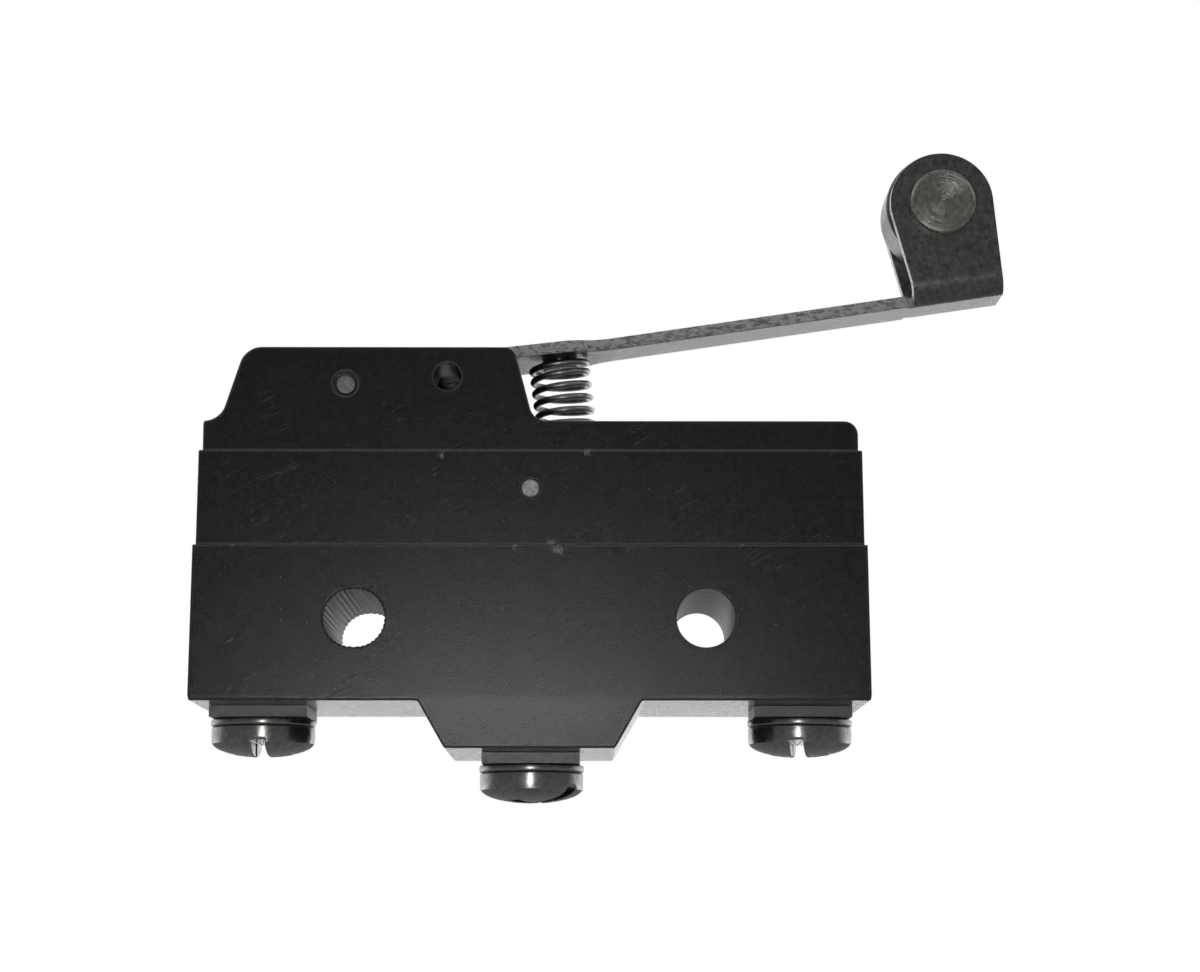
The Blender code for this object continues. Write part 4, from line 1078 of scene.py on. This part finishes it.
class SWITCH_OT_cover(bpy.types.Operator):
    """Model the upper case with its two steps, hinge cheeks and holes"""
    bl_idname = "switch.cover"
    bl_label = "Case Cover"

    def execute(self, context):
        s = context.scene.switch_cover
        cover = block("case_cover", COVER_LOW, (COVER_HIGH.x, COVER_HIGH.y, s.skirt_top))
        self.steps(cover, s)
        self.hump(cover, s)
        slot = s.slot_width / 2
        cut(cover, block("cheek_slot", (-s.slot_start, MIDDLE_Y - slot, s.deck_top),
                         (s.cheek_toe + 2 * MM, MIDDLE_Y + slot, COVER_HIGH.z + MM)))
        edit(cover)
        tidy_flats()
        ease_edges(s.edge_round, (s.skirt_top, COVER_LOW.z), s.seam_round)
        leave()
        self.holes(cover, s)
        finish = context.scene.switch_finish
        chips = (((4.2 * MM, COVER_LOW.y, s.skirt_top - 0.1 * MM), 0.6 * MM),
                 ((-6.5 * MM, COVER_LOW.y, s.skirt_top - 0.4 * MM), 0.5 * MM),
                 ((1.6 * MM, COVER_LOW.y, COVER_LOW.z + 0.1 * MM), 0.6 * MM))
        skin = phenolic("moulded phenolic, cover", finish, 0.2, chips)
        spare = HINGE + Vector((s.spare_offset, 0, s.spare_rise))
        dress_walls(cover, skin, [(spare.x, spare.z, s.spare_diameter / 2 + 0.05 * MM)],
                    (COVER_LOW.y + s.deck_side_inset + 2 * s.hole_rim,
                     COVER_HIGH.y - s.deck_side_inset - 2 * s.hole_rim))
        finished(cover, "case", [skin, hole_walls_painted_light("phenolic in the spare hole", finish)],
                 ["cover"])
        return {"FINISHED"}

    def steps(self, cover, s):
        """The skirt's draft and the upper step."""
        half_length = COVER_HIGH.x
        half_depth = COVER_HIGH.y - MIDDLE_Y
        edit(cover)
        pick("FACE", lambda face: face.normal.z > 0.9)
        resize((1 - s.skirt_draft / half_length, 1, 1), MIDDLE)
        extrude((0, 0, 0))
        resize((1 - s.deck_inset / half_length, 1 - s.deck_side_inset / half_depth, 1), MIDDLE)
        extrude((0, 0, s.deck_top - s.skirt_top))

    def hump(self, cover, s):
        """The solid hump that the slot later splits into two cheeks."""
        for x in (-s.cheek_foot, s.cheek_toe):
            slice_at((x, 0, 0), ALONG_X)
        foot_middle = (s.cheek_toe - s.cheek_foot) / 2
        top_middle = -(s.cheek_shoulder + s.cheek_nose) / 2
        pick("FACE", lambda face: face.normal.z > 0.9 and middle(face).z > s.deck_top - TINY
             and abs(middle(face).x - foot_middle) < MM)
        extrude((top_middle - foot_middle, 0, COVER_HIGH.z - s.deck_top))
        narrower = (s.cheek_shoulder - s.cheek_nose) / (s.cheek_toe + s.cheek_foot)
        resize((narrower, 1, 1), (top_middle, MIDDLE_Y, COVER_HIGH.z))
        tidy_flats()
        for x, z, radius, segments in (
                (-s.cheek_shoulder, COVER_HIGH.z, s.shoulder_round, 8),
                (-s.cheek_nose, COVER_HIGH.z, s.nose_round, 6),
                (-s.cheek_foot, s.deck_top, s.foot_round, 8),
                (s.cheek_toe, s.deck_top, s.toe_round, 7),
                (COVER_HIGH.x - s.deck_inset, s.deck_top, s.deck_corner, 6)):
            round_edges(radius, lambda edge: abs(middle(edge).x - x) < 0.15 * MM
                        and abs(middle(edge).z - z) < TINY
                        and abs((edge.verts[0].co - edge.verts[1].co).y) > MM, segments)
        leave()

    def holes(self, cover, s):
        """The hollow, the hinge holes, the spare hole, the pin holes and the plunger's bore."""
        front = COVER_LOW.y - MM
        rear = COVER_HIGH.y + MM
        inner_x = COVER_HIGH.x - s.end_wall
        cut(cover, block("hollow", (-inner_x, COVER_LOW.y + s.wall, COVER_LOW.z - MM),
                         (inner_x, COVER_HIGH.y - s.wall, s.deck_top - s.roof)))
        spare = HINGE + Vector((s.spare_offset, 0, s.spare_rise))
        outer = COVER_LOW.y + s.deck_side_inset
        cheeks = (outer, 2 * MIDDLE_Y - outer)
        cut(cover, rod("hinge_bore", s.hinge_bore, (HINGE.x, front, HINGE.z),
                       (HINGE.x, rear, HINGE.z), 40))
        for start, end in ((front, outer + s.mouth_depth), (cheeks[1] - s.mouth_depth, rear)):
            cut(cover, rod("mouth", s.mouth_diameter, (HINGE.x, start, HINGE.z),
                           (HINGE.x, end, HINGE.z), 40))
        cut(cover, drill("spare_bore", s.spare_diameter, spare, cheeks, s.hole_rim, 40))
        pin = Vector((0, 0, s.pin_height))
        cut(cover, drill("pin_bore", s.pin_bore, pin, (COVER_LOW.y, COVER_HIGH.y), s.hole_rim, 32))
        plunger_low, plunger_high = corners("plunger")
        x = (plunger_low.x + plunger_high.x) / 2
        cut(cover, rod("plunger_bore", s.plunger_bore, (x, MIDDLE_Y, s.deck_top - s.roof - MM),
                       (x, MIDDLE_Y, s.deck_top + MM), 40))
        cut(cover, rod("recess", s.recess_diameter, (x, MIDDLE_Y, s.deck_top - s.recess_depth),
                       (x, MIDDLE_Y, s.deck_top + MM), 56))


class SWITCH_OT_pins(bpy.types.Operator):
    """Turn the hinge pin and the two cover pins"""
    bl_idname = "switch.pins"
    bl_label = "Pins"

    def execute(self, context):
        edge = context.scene.switch_train.pin_edge
        finish = context.scene.switch_finish
        for node in ("hinge_pin", "cover_pin_front", "cover_pin_rear"):
            low, high = corners(node)
            radius = (high.z - low.z) / 2
            half = (high.y - low.y) / 2
            profile = mirrored([(0.0, half)] + rounded_corner(radius, half, edge, 4))
            pin = spun(node + "_turned", profile, (low + high) / 2, ALONG_Y, 32)
            # One pin steel in two tints, lighter on the cover pins than on the hinge pin: painted light.
            tint = scaled(finish.pin, 0.75 if node == "hinge_pin" else 1.2)
            steel = metal("pin steel, " + node, tint, 0.4, (low + high) / 2, grain=60 * MICRON,
                          mottle=0.35)
            finished(pin, "case", [steel], [node])
        return {"FINISHED"}


class SWITCH_OT_lever(bpy.types.Operator):
    """Bend the lever from one sheet, with its hinge lugs and its fork"""
    bl_idname = "switch.lever"
    bl_label = "Lever"

    def execute(self, context):
        s = context.scene.switch_lever
        train = context.scene.switch_train
        finish = context.scene.switch_finish
        to_hinge = Matrix.Translation(HINGE) @ Matrix.Rotation(-s.tilt, 4, "Y")
        lever = self.strip(s)
        self.fork(lever, s)
        self.rounds(lever, s)
        self.bend(lever, s)
        self.thicken(lever, s)
        self.lugs(lever, s)
        lever.matrix_world = to_hinge
        settle(lever)
        self.holes(lever, s, train)
        sheet = metal("tumbled sheet", finish.lever, 0.31, grain=14 * MICRON, turn=(0, 1.45, 0.1),
                      stretch=(0.05, 1, 1), scratched=0.5, mottle=0.28, worn_light=2.6)
        # Painted shade on the lever's underside round the spring.
        self.paint_shade_under_lever(sheet)
        sheared = sheared_metal("sheared sheet", finish.sheared)
        finished(lever, "lever", [sheet, sheared], ["lever"])
        return {"FINISHED"}

    def paint_shade_under_lever(self, sheet):
        """Painted shade: darken the sheet's underside round the spring with a dark brown patch."""
        low, high = corners("spring_button")
        tree = sheet.node_tree
        shader = tree.nodes["Principled BSDF"]
        place = add(tree, "TexCoord")
        reach = add(tree, "VectorMath", operation="DISTANCE")
        feed(tree, place.outputs["Object"], reach, 0)
        reach.inputs[1].default_value = (low + high) / 2 - Vector((MM, 0, 0))
        shade_patch = spread(tree, reach.outputs["Value"], 3.6 * MM, 5.2 * MM, 0.88, 0.0)
        facing = add(tree, "SeparateXYZ")
        feed(tree, add(tree, "NewGeometry").outputs["Normal"], facing, 0)
        below = maths(tree, "LESS_THAN", facing.outputs["Z"], 0.4)
        shade_patch = maths(tree, "MULTIPLY", shade_patch, below)
        plain = shader.inputs["Base Color"].links[0].from_socket
        # The dark brown colour on the downward faces is painted shade.
        feed(tree, mixed(tree, shade_patch, plain, (0.020, 0.016, 0.012)), shader, "Base Color")

    def strip(self, s):
        """The flat strip: wide over the hinge, narrow along the arm, a notch and the web."""
        bpy.ops.object.select_all(action="DESELECT")
        bpy.ops.mesh.primitive_plane_add(size=1.0, location=((s.neck - s.tail) / 2, 0, s.rise))
        lever = named("bent_lever")
        lever.scale = (s.neck + s.tail, s.width, 1.0)
        settle(lever)
        flat = s.fork_width / 2 - s.fork_bend
        heel = s.bend_at + s.reach - s.heel
        edit(lever)
        pick("EDGE", lambda edge: abs(middle(edge).x - s.neck) < TINY)
        extrude((s.neck_length, 0, 0))
        resize((1, s.arm_width / s.width, 1), (0, 0, s.rise))
        extrude((heel - s.notch - s.neck - s.neck_length, 0, 0))
        for side in (-1, 1):
            slice_at((0, side * flat, 0), ALONG_Y)
        pick("EDGE", lambda edge: abs(middle(edge).x - heel + s.notch) < TINY
             and abs(middle(edge).y) < flat - TINY)
        extrude((s.notch, 0, 0))
        extrude((s.heel + s.toe, 0, 0))
        leave()
        return lever

    def fork(self, lever, s):
        """Both ears, extruded from the web's sides round the bend and up."""
        flat = s.fork_width / 2 - s.fork_bend
        heel = s.bend_at + s.reach - s.heel
        foot_middle = heel + (s.heel + s.toe) / 2
        axis_x = s.bend_at + s.reach
        steps = 8
        edit(lever)
        for side in (-1, 1):
            pick("EDGE", lambda edge: abs(middle(edge).x - foot_middle) < TINY
                 and abs(middle(edge).y - side * flat) < TINY)
            before = Vector((0, 0, 0))
            for step in range(1, steps + 1):
                turn = math.pi / 2 * step / steps
                here = Vector((0, side * s.fork_bend * math.sin(turn),
                               s.fork_bend * (1 - math.cos(turn))))
                extrude(here - before)
                before = here
            extrude((axis_x - foot_middle, 0, s.lift - s.fork_bend))
            resize((2 * s.ear_radius / (s.heel + s.toe), 1, 1), (axis_x, 0, 0))
            extrude((0, 0, s.ear_radius))
        tidy_flats()
        leave()

    def rounds(self, lever, s):
        """Round the corners of the outline."""
        axis_x = s.bend_at + s.reach
        flat = s.fork_width / 2 - s.fork_bend
        top = s.rise + s.lift + s.ear_radius
        heel = axis_x - s.heel
        neck_end = s.neck + s.neck_length
        edit(lever)
        for x, y, z, radius, segments in (
                (None, None, top, s.ear_radius - 0.02 * MM, 16),
                (-s.tail, None, s.rise, 0.6 * MM, 4),
                (s.neck, s.width / 2, s.rise, 0.9 * MM, 6),
                (neck_end, s.arm_width / 2, s.rise, 0.9 * MM, 6),
                (heel - s.notch, s.arm_width / 2, s.rise, 0.18 * MM, 3),
                (heel - s.notch, flat, s.rise, 0.15 * MM, 3)):
            pick("VERT", lambda vertex: (x is None or abs(vertex.co.x - x) < TINY)
                 and (y is None or abs(abs(vertex.co.y) - y) < TINY)
                 and abs(vertex.co.z - z) < TINY)
            bevel(radius, segments, "VERTICES")
        leave()

    def bend(self, lever, s):
        """Turn the arm up a little past the bend, in three small steps."""
        edit(lever)
        places = [s.bend_at + step * 0.25 * MM for step in (-1, 0, 1)]
        for place in places:
            slice_at((place, 0, 0), ALONG_X)
        for place in places:
            pick("VERT", lambda vertex: vertex.co.x > place + TINY)
            bpy.ops.transform.rotate(value=s.bend / len(places), orient_axis="Y",
                                     center_override=(place, 0, s.rise))
        leave()

    def thicken(self, lever, s):
        """Give the sheet its thickness on its upper side, and ease its sheared edges."""
        edit(lever)
        bpy.ops.mesh.select_all(action="SELECT")
        bpy.ops.mesh.normals_make_consistent(inside=False)
        shape = bmesh.from_edit_mesh(lever.data)
        shape.faces.ensure_lookup_table()
        widest = max(shape.faces, key=lambda face: face.calc_area())
        if widest.normal.z > 0:
            bpy.ops.mesh.flip_normals()
        leave()
        lever.data.materials.append(bpy.data.materials.new("sheet placeholder"))
        lever.data.materials.append(bpy.data.materials.new("edge placeholder"))
        apply(lever, "SOLIDIFY", thickness=s.sheet, offset=-1.0, use_even_offset=True,
              material_offset_rim=1)
        edit(lever)
        pick("EDGE", lambda edge: len({face.material_index for face in edge.link_faces}) == 2)
        bevel(s.edge_round, 2)
        leave()

    def lugs(self, lever, s):
        """Two lugs that hang from the sheet's sides to the hinge pin."""
        half = s.lug_width / 2
        outer = s.width / 2 - 0.04 * MM
        for side in (-1, 1):
            near, far = sorted((side * outer, side * (outer - s.sheet)))
            lug = block("lug", (-half, near, -s.lug_drop), (half, far, s.rise + s.sheet / 2))
            edit(lug)
            pick("EDGE", lambda edge: middle(edge).z < -s.lug_drop + TINY
                 and abs((edge.verts[0].co - edge.verts[1].co).y) > TINY)
            bevel(s.lug_drop - 0.05 * MM, 8)
            leave()
            join(lever, lug)

    def holes(self, lever, s, train):
        """Holes for the hinge pin, the roller's axle and the spring button."""
        reach = Vector((0, s.width, 0))
        cut(lever, rod("pin_hole", 1.55 * MM, HINGE - reach, HINGE + reach, 32))
        cut(lever, rod("axle_hole", train.axle_diameter + 0.04 * MM, ROLLER_AXIS - reach,
                       ROLLER_AXIS + reach, 40))
        low, high = corners("spring_button")
        lift = Matrix.Rotation(-s.tilt, 3, "Y") @ Vector((0, 0, 1))
        centre = (low + high) / 2
        cut(lever, rod("button_hole", 1.64 * MM, centre - lift * 3 * MM, centre + lift * 3 * MM, 32))


class SWITCH_OT_roller(bpy.types.Operator):
    """Turn the roller"""
    bl_idname = "switch.roller"
    bl_label = "Roller"

    def execute(self, context):
        s = context.scene.switch_train
        low, high = corners("roller")
        outer = (high.z - low.z) / 2
        half = (high.y - low.y) / 2
        bore = s.axle_diameter / 2 + 0.06 * MM
        edge = s.roller_edge
        upper = [(bore, half - 0.1 * MM), (bore + 0.1 * MM, half), (bore + 0.9 * MM, half),
                 (bore + 1.0 * MM, half - s.roller_recess), (outer - 0.9 * MM, half - s.roller_recess),
                 (outer - 0.8 * MM, half)]
        upper += rounded_corner(outer, half, edge, 6)
        roller = spun("ground_roller", mirrored(upper), ROLLER_AXIS, ALONG_Y, 128, closed=True)
        steel = metal("ground roller steel", context.scene.switch_finish.roller, 0.42, ROLLER_AXIS,
                      grain=2 * MICRON, stretch=(1, 0.08, 1), turn=(0, 0, 0.0), scratched=0.2,
                      rings=3 * MICRON)
        finished(roller, "roller", [steel], ["roller"])
        return {"FINISHED"}


class SWITCH_OT_axle(bpy.types.Operator):
    """Turn the roller's riveted axle with its dished heads"""
    bl_idname = "switch.axle"
    bl_label = "Roller Axle"

    def execute(self, context):
        s = context.scene.switch_train
        low, high = corners("roller_axle")
        radius = (high.z - low.z) / 2
        half = (high.y - low.y) / 2
        seat = half - s.axle_head
        edge = 0.35 * MM
        upper = [(0.0, half - s.axle_dish)]
        for ring in range(1, 13):
            level = half - s.axle_dish + s.axle_dish * (ring / 13) ** 1.6
            upper.append((2.05 * MM * ring / 13, level))
        upper += rounded_corner(radius, half, edge, 6)
        upper += [(radius, seat + 0.1 * MM), (radius - 0.1 * MM, seat), (s.axle_diameter / 2, seat)]
        axle = spun("riveted_axle", mirrored(upper), ROLLER_AXIS, ALONG_Y, 96)
        steel = metal("turned axle steel", context.scene.switch_finish.axle, 0.28, ROLLER_AXIS,
                      grain=6 * MICRON, rings=40 * MICRON, scratched=0.3, mottle=0.25)
        finished(axle, "lever", [steel], ["roller_axle"])
        return {"FINISHED"}


class SWITCH_OT_plunger(bpy.types.Operator):
    """Turn the plunger and the button that hold the spring's two ends"""
    bl_idname = "switch.plunger"
    bl_label = "Plunger and Spring Button"

    def execute(self, context):
        s = context.scene.switch_train
        finish = context.scene.switch_finish
        low, high = corners("plunger")
        middle_x = (low.x + high.x) / 2
        head = (high.x - low.x) / 2
        seat = high.z - s.pilot_height
        pilot = s.pilot_diameter / 2
        stem = s.plunger_diameter / 2
        edge = 0.12 * MM
        profile = [(0.0, high.z)] + rounded_corner(pilot, high.z, edge, 3)
        profile += [(pilot, seat)]
        profile += rounded_corner(head, seat, edge, 3)
        profile += [(head, seat - s.plunger_head), (stem, seat - s.plunger_head),
                    (stem, low.z + 1.2 * MM)]
        profile += arc((0.9 * MM - 0.3 * MM, low.z + 0.3 * MM), 0.3 * MM, 0, -90, 5)
        profile += [(0.0, low.z)]
        plunger = spun("turned_plunger", profile, Vector((middle_x, MIDDLE_Y, 0.0)), ALONG_Z, 64)
        plastic = self.nylon(finish)
        finished(plunger, "plunger", [plastic], ["plunger"])
        self.button(context, s, finish)
        return {"FINISHED"}

    def nylon(self, finish):
        """Moulded nylon with a soft sheen."""
        material, tree, shader, vector = new_material("plunger nylon")
        grain = place_group(tree, "grain", vector, Scale=4000.0, Mottle_Scale=600.0)
        worn = place_group(tree, "wear", vector, Radius=0.0001, Amount=0.4)
        tone = mixed(tree, grain.outputs["Mottle"], scaled(finish.nylon, 0.8), scaled(finish.nylon, 1.3))
        tone = mixed(tree, worn.outputs["Mask"], tone, scaled(finish.nylon, 3.0))
        feed(tree, tone, shader, "Base Color")
        feed(tree, spread(tree, grain.outputs["Mottle"], 0.0, 1.0, 0.35, 0.5), shader, "Roughness")
        bump(tree, shader, grain.outputs["Height"], 10 * MICRON)
        return material

    def button(self, context, s, finish):
        """A riveted stud, square to the lever."""
        lever = context.scene.switch_lever
        low, high = corners("spring_button")
        centre = (low + high) / 2
        lift = Matrix.Rotation(-lever.tilt, 3, "Y") @ Vector((0, 0, 1))
        underside = HINGE + lift * lever.rise
        height = (underside - centre).dot(lift)
        foot = centre + lift * height
        pilot = s.pilot_diameter / 2 - 0.15 * MM
        edge = 0.15 * MM
        gap = 0.03 * MM
        top = lever.sheet + gap
        profile = arc((0.0, top - 0.15 * MM), 1.3 * MM, 90, 22, 6)
        dome = [(radius, top + (level - top + 0.15 * MM) * 0.27) for radius, level in profile]
        profile = [(0.0, top + 0.35 * MM)] + dome[1:] + [(1.2 * MM, top), (0.8 * MM, top),
                                                        (0.8 * MM, -gap), (pilot, -gap)]
        profile += arc((pilot - edge, -gap - 0.6 * MM + edge), edge, 0, -90, 4)
        profile += [(0.0, -gap - 0.6 * MM)]
        button = spun("riveted_button", profile, Vector((0, 0, 0)), ALONG_Z, 56)
        button.matrix_world = Matrix.Translation(foot) @ Matrix.Rotation(-lever.tilt, 4, "Y")
        settle(button)
        steel = metal("button steel", finish.axle, 0.26, foot, scratched=0.2)
        finished(button, "lever", [steel], ["spring_button"])


class SWITCH_OT_spring(bpy.types.Operator):
    """Wind the coil spring between the plunger and the lever"""
    bl_idname = "switch.spring"
    bl_label = "Coil Spring"

    def execute(self, context):
        s = context.scene.switch_train
        tilt = context.scene.switch_lever.tilt
        low, high = corners("coil_spring")
        plunger_low, plunger_high = corners("plunger")
        centre = Vector(((plunger_low.x + plunger_high.x) / 2, MIDDLE_Y, low.z))
        radius = (s.coil - s.wire) / 2
        rise = high.z - low.z - s.wire - radius * math.tan(tilt)
        per_turn = 40
        count = int(s.turns * per_turn) + 1
        curve = bpy.data.curves.new("coil", "CURVE")
        curve.dimensions = "3D"
        curve.bevel_depth = s.wire / 2
        curve.bevel_resolution = 5
        curve.use_fill_caps = True
        line = curve.splines.new("POLY")
        line.points.add(count - 1)
        for index, point in enumerate(line.points):
            turn = index / per_turn
            climb = self.climb(s, turn, rise)
            across = radius * math.cos(math.tau * turn)
            point.co = (centre.x + across - climb * s.lean,
                        centre.y + radius * math.sin(math.tau * turn),
                        centre.z + s.wire / 2 + climb * (rise + across * math.tan(tilt)), 1.0)
        spring = bpy.data.objects.new("wound_spring", curve)
        context.scene.collection.objects.link(spring)
        only(spring)
        bpy.ops.object.convert(target="MESH")
        spring = named("wound_spring")
        edit(spring)
        bpy.ops.mesh.select_all(action="SELECT")
        bpy.ops.mesh.remove_doubles(threshold=MERGE)
        bpy.ops.mesh.normals_make_consistent(inside=False)
        leave()
        wire = metal("spring wire", context.scene.switch_finish.spring, 0.36, centre,
                     grain=1 * MICRON, scratched=0.15, mottle=0.2)
        finished(spring, "plunger", [wire], ["coil_spring"], math.radians(50))
        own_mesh(spring)
        return {"FINISHED"}

    def climb(self, s, turn, rise):
        """Share of the rise reached after some turns: slow at the closed ends."""
        open_turns = s.turns - 2 * s.end_turns
        pitch = (rise - 2 * s.end_turns * s.closed_pitch) / open_turns
        first = min(turn, s.end_turns) * s.closed_pitch
        inner = min(max(turn - s.end_turns, 0.0), open_turns) * pitch
        last = max(turn - s.end_turns - open_turns, 0.0) * s.closed_pitch
        return (first + inner + last) / rise


class SWITCH_OT_screws(bpy.types.Operator):
    """Turn the three terminal screws and their captive washers"""
    bl_idname = "switch.screws"
    bl_label = "Terminal Screws"

    def execute(self, context):
        s = context.scene.switch_terminals
        finish = context.scene.switch_finish
        first = self.screw(s, "common")
        start = self.axis("common")
        for kind, turn in zip(TERMINALS, (0.0, s.turn_open, s.turn_closed)):
            place = self.axis(kind)
            screw = first
            if kind != "common":
                screw = copy_of(first, "pan_head_screw_" + kind)
                about = Matrix.Translation(place) @ Matrix.Rotation(turn, 4, "Z")
                screw.matrix_world = about @ Matrix.Translation(-start)
                settle(screw)
            plate = metal("nickel plate, screw " + kind, finish.screw, 0.22, place, mottle=0.2)
            finished(screw, "screw_" + kind, [plate], ["screw_" + kind])
            washer = self.washer(s, kind)
            ring = metal("nickel plate, washer " + kind, finish.screw, 0.24, place, scratched=0.3)
            finished(washer, "washer_" + kind, [ring], ["washer_" + kind])
        return {"FINISHED"}

    def axis(self, kind):
        """The middle of a screw's seat."""
        low, high = corners("washer_" + kind)
        return Vector(((low.x + high.x) / 2, MIDDLE_Y, low.z))

    def screw(self, s, kind):
        low, high = corners("screw_" + kind)
        place = self.axis(kind)
        head = (high.x - low.x) / 2
        seat = place.z - 0.03 * MM
        length = high.z - seat
        depth = seat - low.z
        shank = s.shank / 2
        root = shank - s.thread_depth
        profile = [(0.0, length), (root - 0.15 * MM, length), (root, length - 0.3 * MM)]
        count = int((length - 1.3 * MM) / s.pitch)
        for index in range(count):
            level = length - 0.4 * MM - index * s.pitch
            profile += [(root, level), (shank, level - 0.27 * MM), (shank, level - 0.36 * MM),
                        (root, level - 0.63 * MM)]
        profile += [(root, 0.1 * MM), (root + 0.1 * MM, 0.0), (head - 0.12 * MM, 0.0),
                    (head, -0.12 * MM), (head, -s.rim + 0.25 * MM)]
        dome = []
        for step in range(9):
            turn = math.radians(8 + 82 * step / 8)
            dome.append((head * math.cos(turn), -s.rim - (depth - s.rim) * math.sin(turn)))
        dome[-1] = (0.0, -depth)
        profile += dome
        screw = spun("pan_head_screw_" + kind, profile, Vector((place.x, place.y, seat)), ALONG_Z, 96)
        bottom = seat - depth
        half = s.slot / 2
        cross = s.cross / 2
        cut(screw, block("slot", (place.x - half, place.y - 2 * head, bottom - MM),
                         (place.x + half, place.y + 2 * head, bottom + s.slot_depth)))
        cut(screw, block("cross", (place.x - cross, place.y - half, bottom - MM),
                         (place.x + cross, place.y + half, bottom + s.slot_depth - 0.05 * MM)))
        edit(screw)
        limit = seat - s.rim * 0.5
        pick("EDGE", lambda edge: middle(edge).z < limit and turn_between(edge) > SHARP)
        bevel(0.07 * MM, 2)
        leave()
        return screw

    def washer(self, s, kind):
        low, high = corners("washer_" + kind)
        outer = (high.x - low.x) / 2
        inner = s.shank / 2 + 0.1 * MM
        half = (high.z - low.z) / 2
        edge = s.washer_round
        upper = [(inner, half - edge), (inner + edge, half)]
        upper += rounded_corner(outer, half, edge, 3)
        name = "pressed_washer_" + kind
        return spun(name, mirrored(upper), (low + high) / 2, ALONG_Z, 80, closed=True)


class SWITCH_OT_contacts(bpy.types.Operator):
    """Finish the terminals, the snap blade, its rivet and the contacts"""
    bl_idname = "switch.contacts"
    bl_label = "Terminals and Contacts"

    def execute(self, context):
        finish = context.scene.switch_finish
        for kind in TERMINALS:
            node = "terminal_" + kind
            plate = refined(node, "plated_" + node, 0.08 * MM)
            finished(plate, "case",
                     [metal("plated brass, " + kind, finish.plate, 0.42, grain=10 * MICRON,
                            scratched=0.35)], [node])
        for node, name, tint, slot, body in (
                ("snap_blade", "stamped_blade", finish.bronze, "blade", "snap_blade"),
                ("moving_contact", "moving_silver", finish.silver, "contacts", "snap_blade"),
                ("open_contact", "open_silver", finish.silver, "contacts", "case"),
                ("closed_contact", "closed_silver", finish.silver, "contacts", "case"),
                ("blade_rivet", "brass_rivet", finish.brass, "blade", "case")):
            piece = refined(node, name, 0.04 * MM)
            finished(piece, body, [metal(name + " metal", tint, 0.26)], [node])
        return {"FINISHED"}


STEPS = (SWITCH_OT_stage, SWITCH_OT_base, SWITCH_OT_cover, SWITCH_OT_pins, SWITCH_OT_lever,
         SWITCH_OT_roller, SWITCH_OT_axle, SWITCH_OT_plunger, SWITCH_OT_spring, SWITCH_OT_screws,
         SWITCH_OT_contacts)


class SWITCH_PT_panel(bpy.types.Panel):
    """Lists the steps that build the limit switch"""
    bl_idname = "SWITCH_PT_panel"
    bl_label = "Limit Switch"
    bl_space_type = "VIEW_3D"
    bl_region_type = "UI"
    bl_category = "Limit Switch"

    def draw(self, context):
        for step in STEPS:
            self.layout.operator(step.bl_idname)
        for name, group in SETTINGS.items():
            box = self.layout.box()
            box.label(text=group.__doc__)
            for setting in group.__annotations__:
                box.prop(getattr(context.scene, name), setting)


CLASSES = tuple(SETTINGS.values()) + STEPS + (SWITCH_PT_panel,)


def register():
    for item in CLASSES:
        bpy.utils.register_class(item)
    for name, group in SETTINGS.items():
        setattr(bpy.types.Scene, name, bpy.props.PointerProperty(type=group))


def unregister():
    for name in SETTINGS:
        delattr(bpy.types.Scene, name)
    for item in reversed(CLASSES):
        bpy.utils.unregister_class(item)


def main():
    """Build everything in order."""
    register()
    make_groups()
    bpy.ops.switch.stage()
    bpy.ops.switch.base()
    bpy.ops.switch.cover()
    bpy.ops.switch.pins()
    bpy.ops.switch.lever()
    bpy.ops.switch.roller()
    bpy.ops.switch.axle()
    bpy.ops.switch.plunger()
    bpy.ops.switch.spring()
    bpy.ops.switch.screws()
    bpy.ops.switch.contacts()


if __name__ == "__main__":
    main()
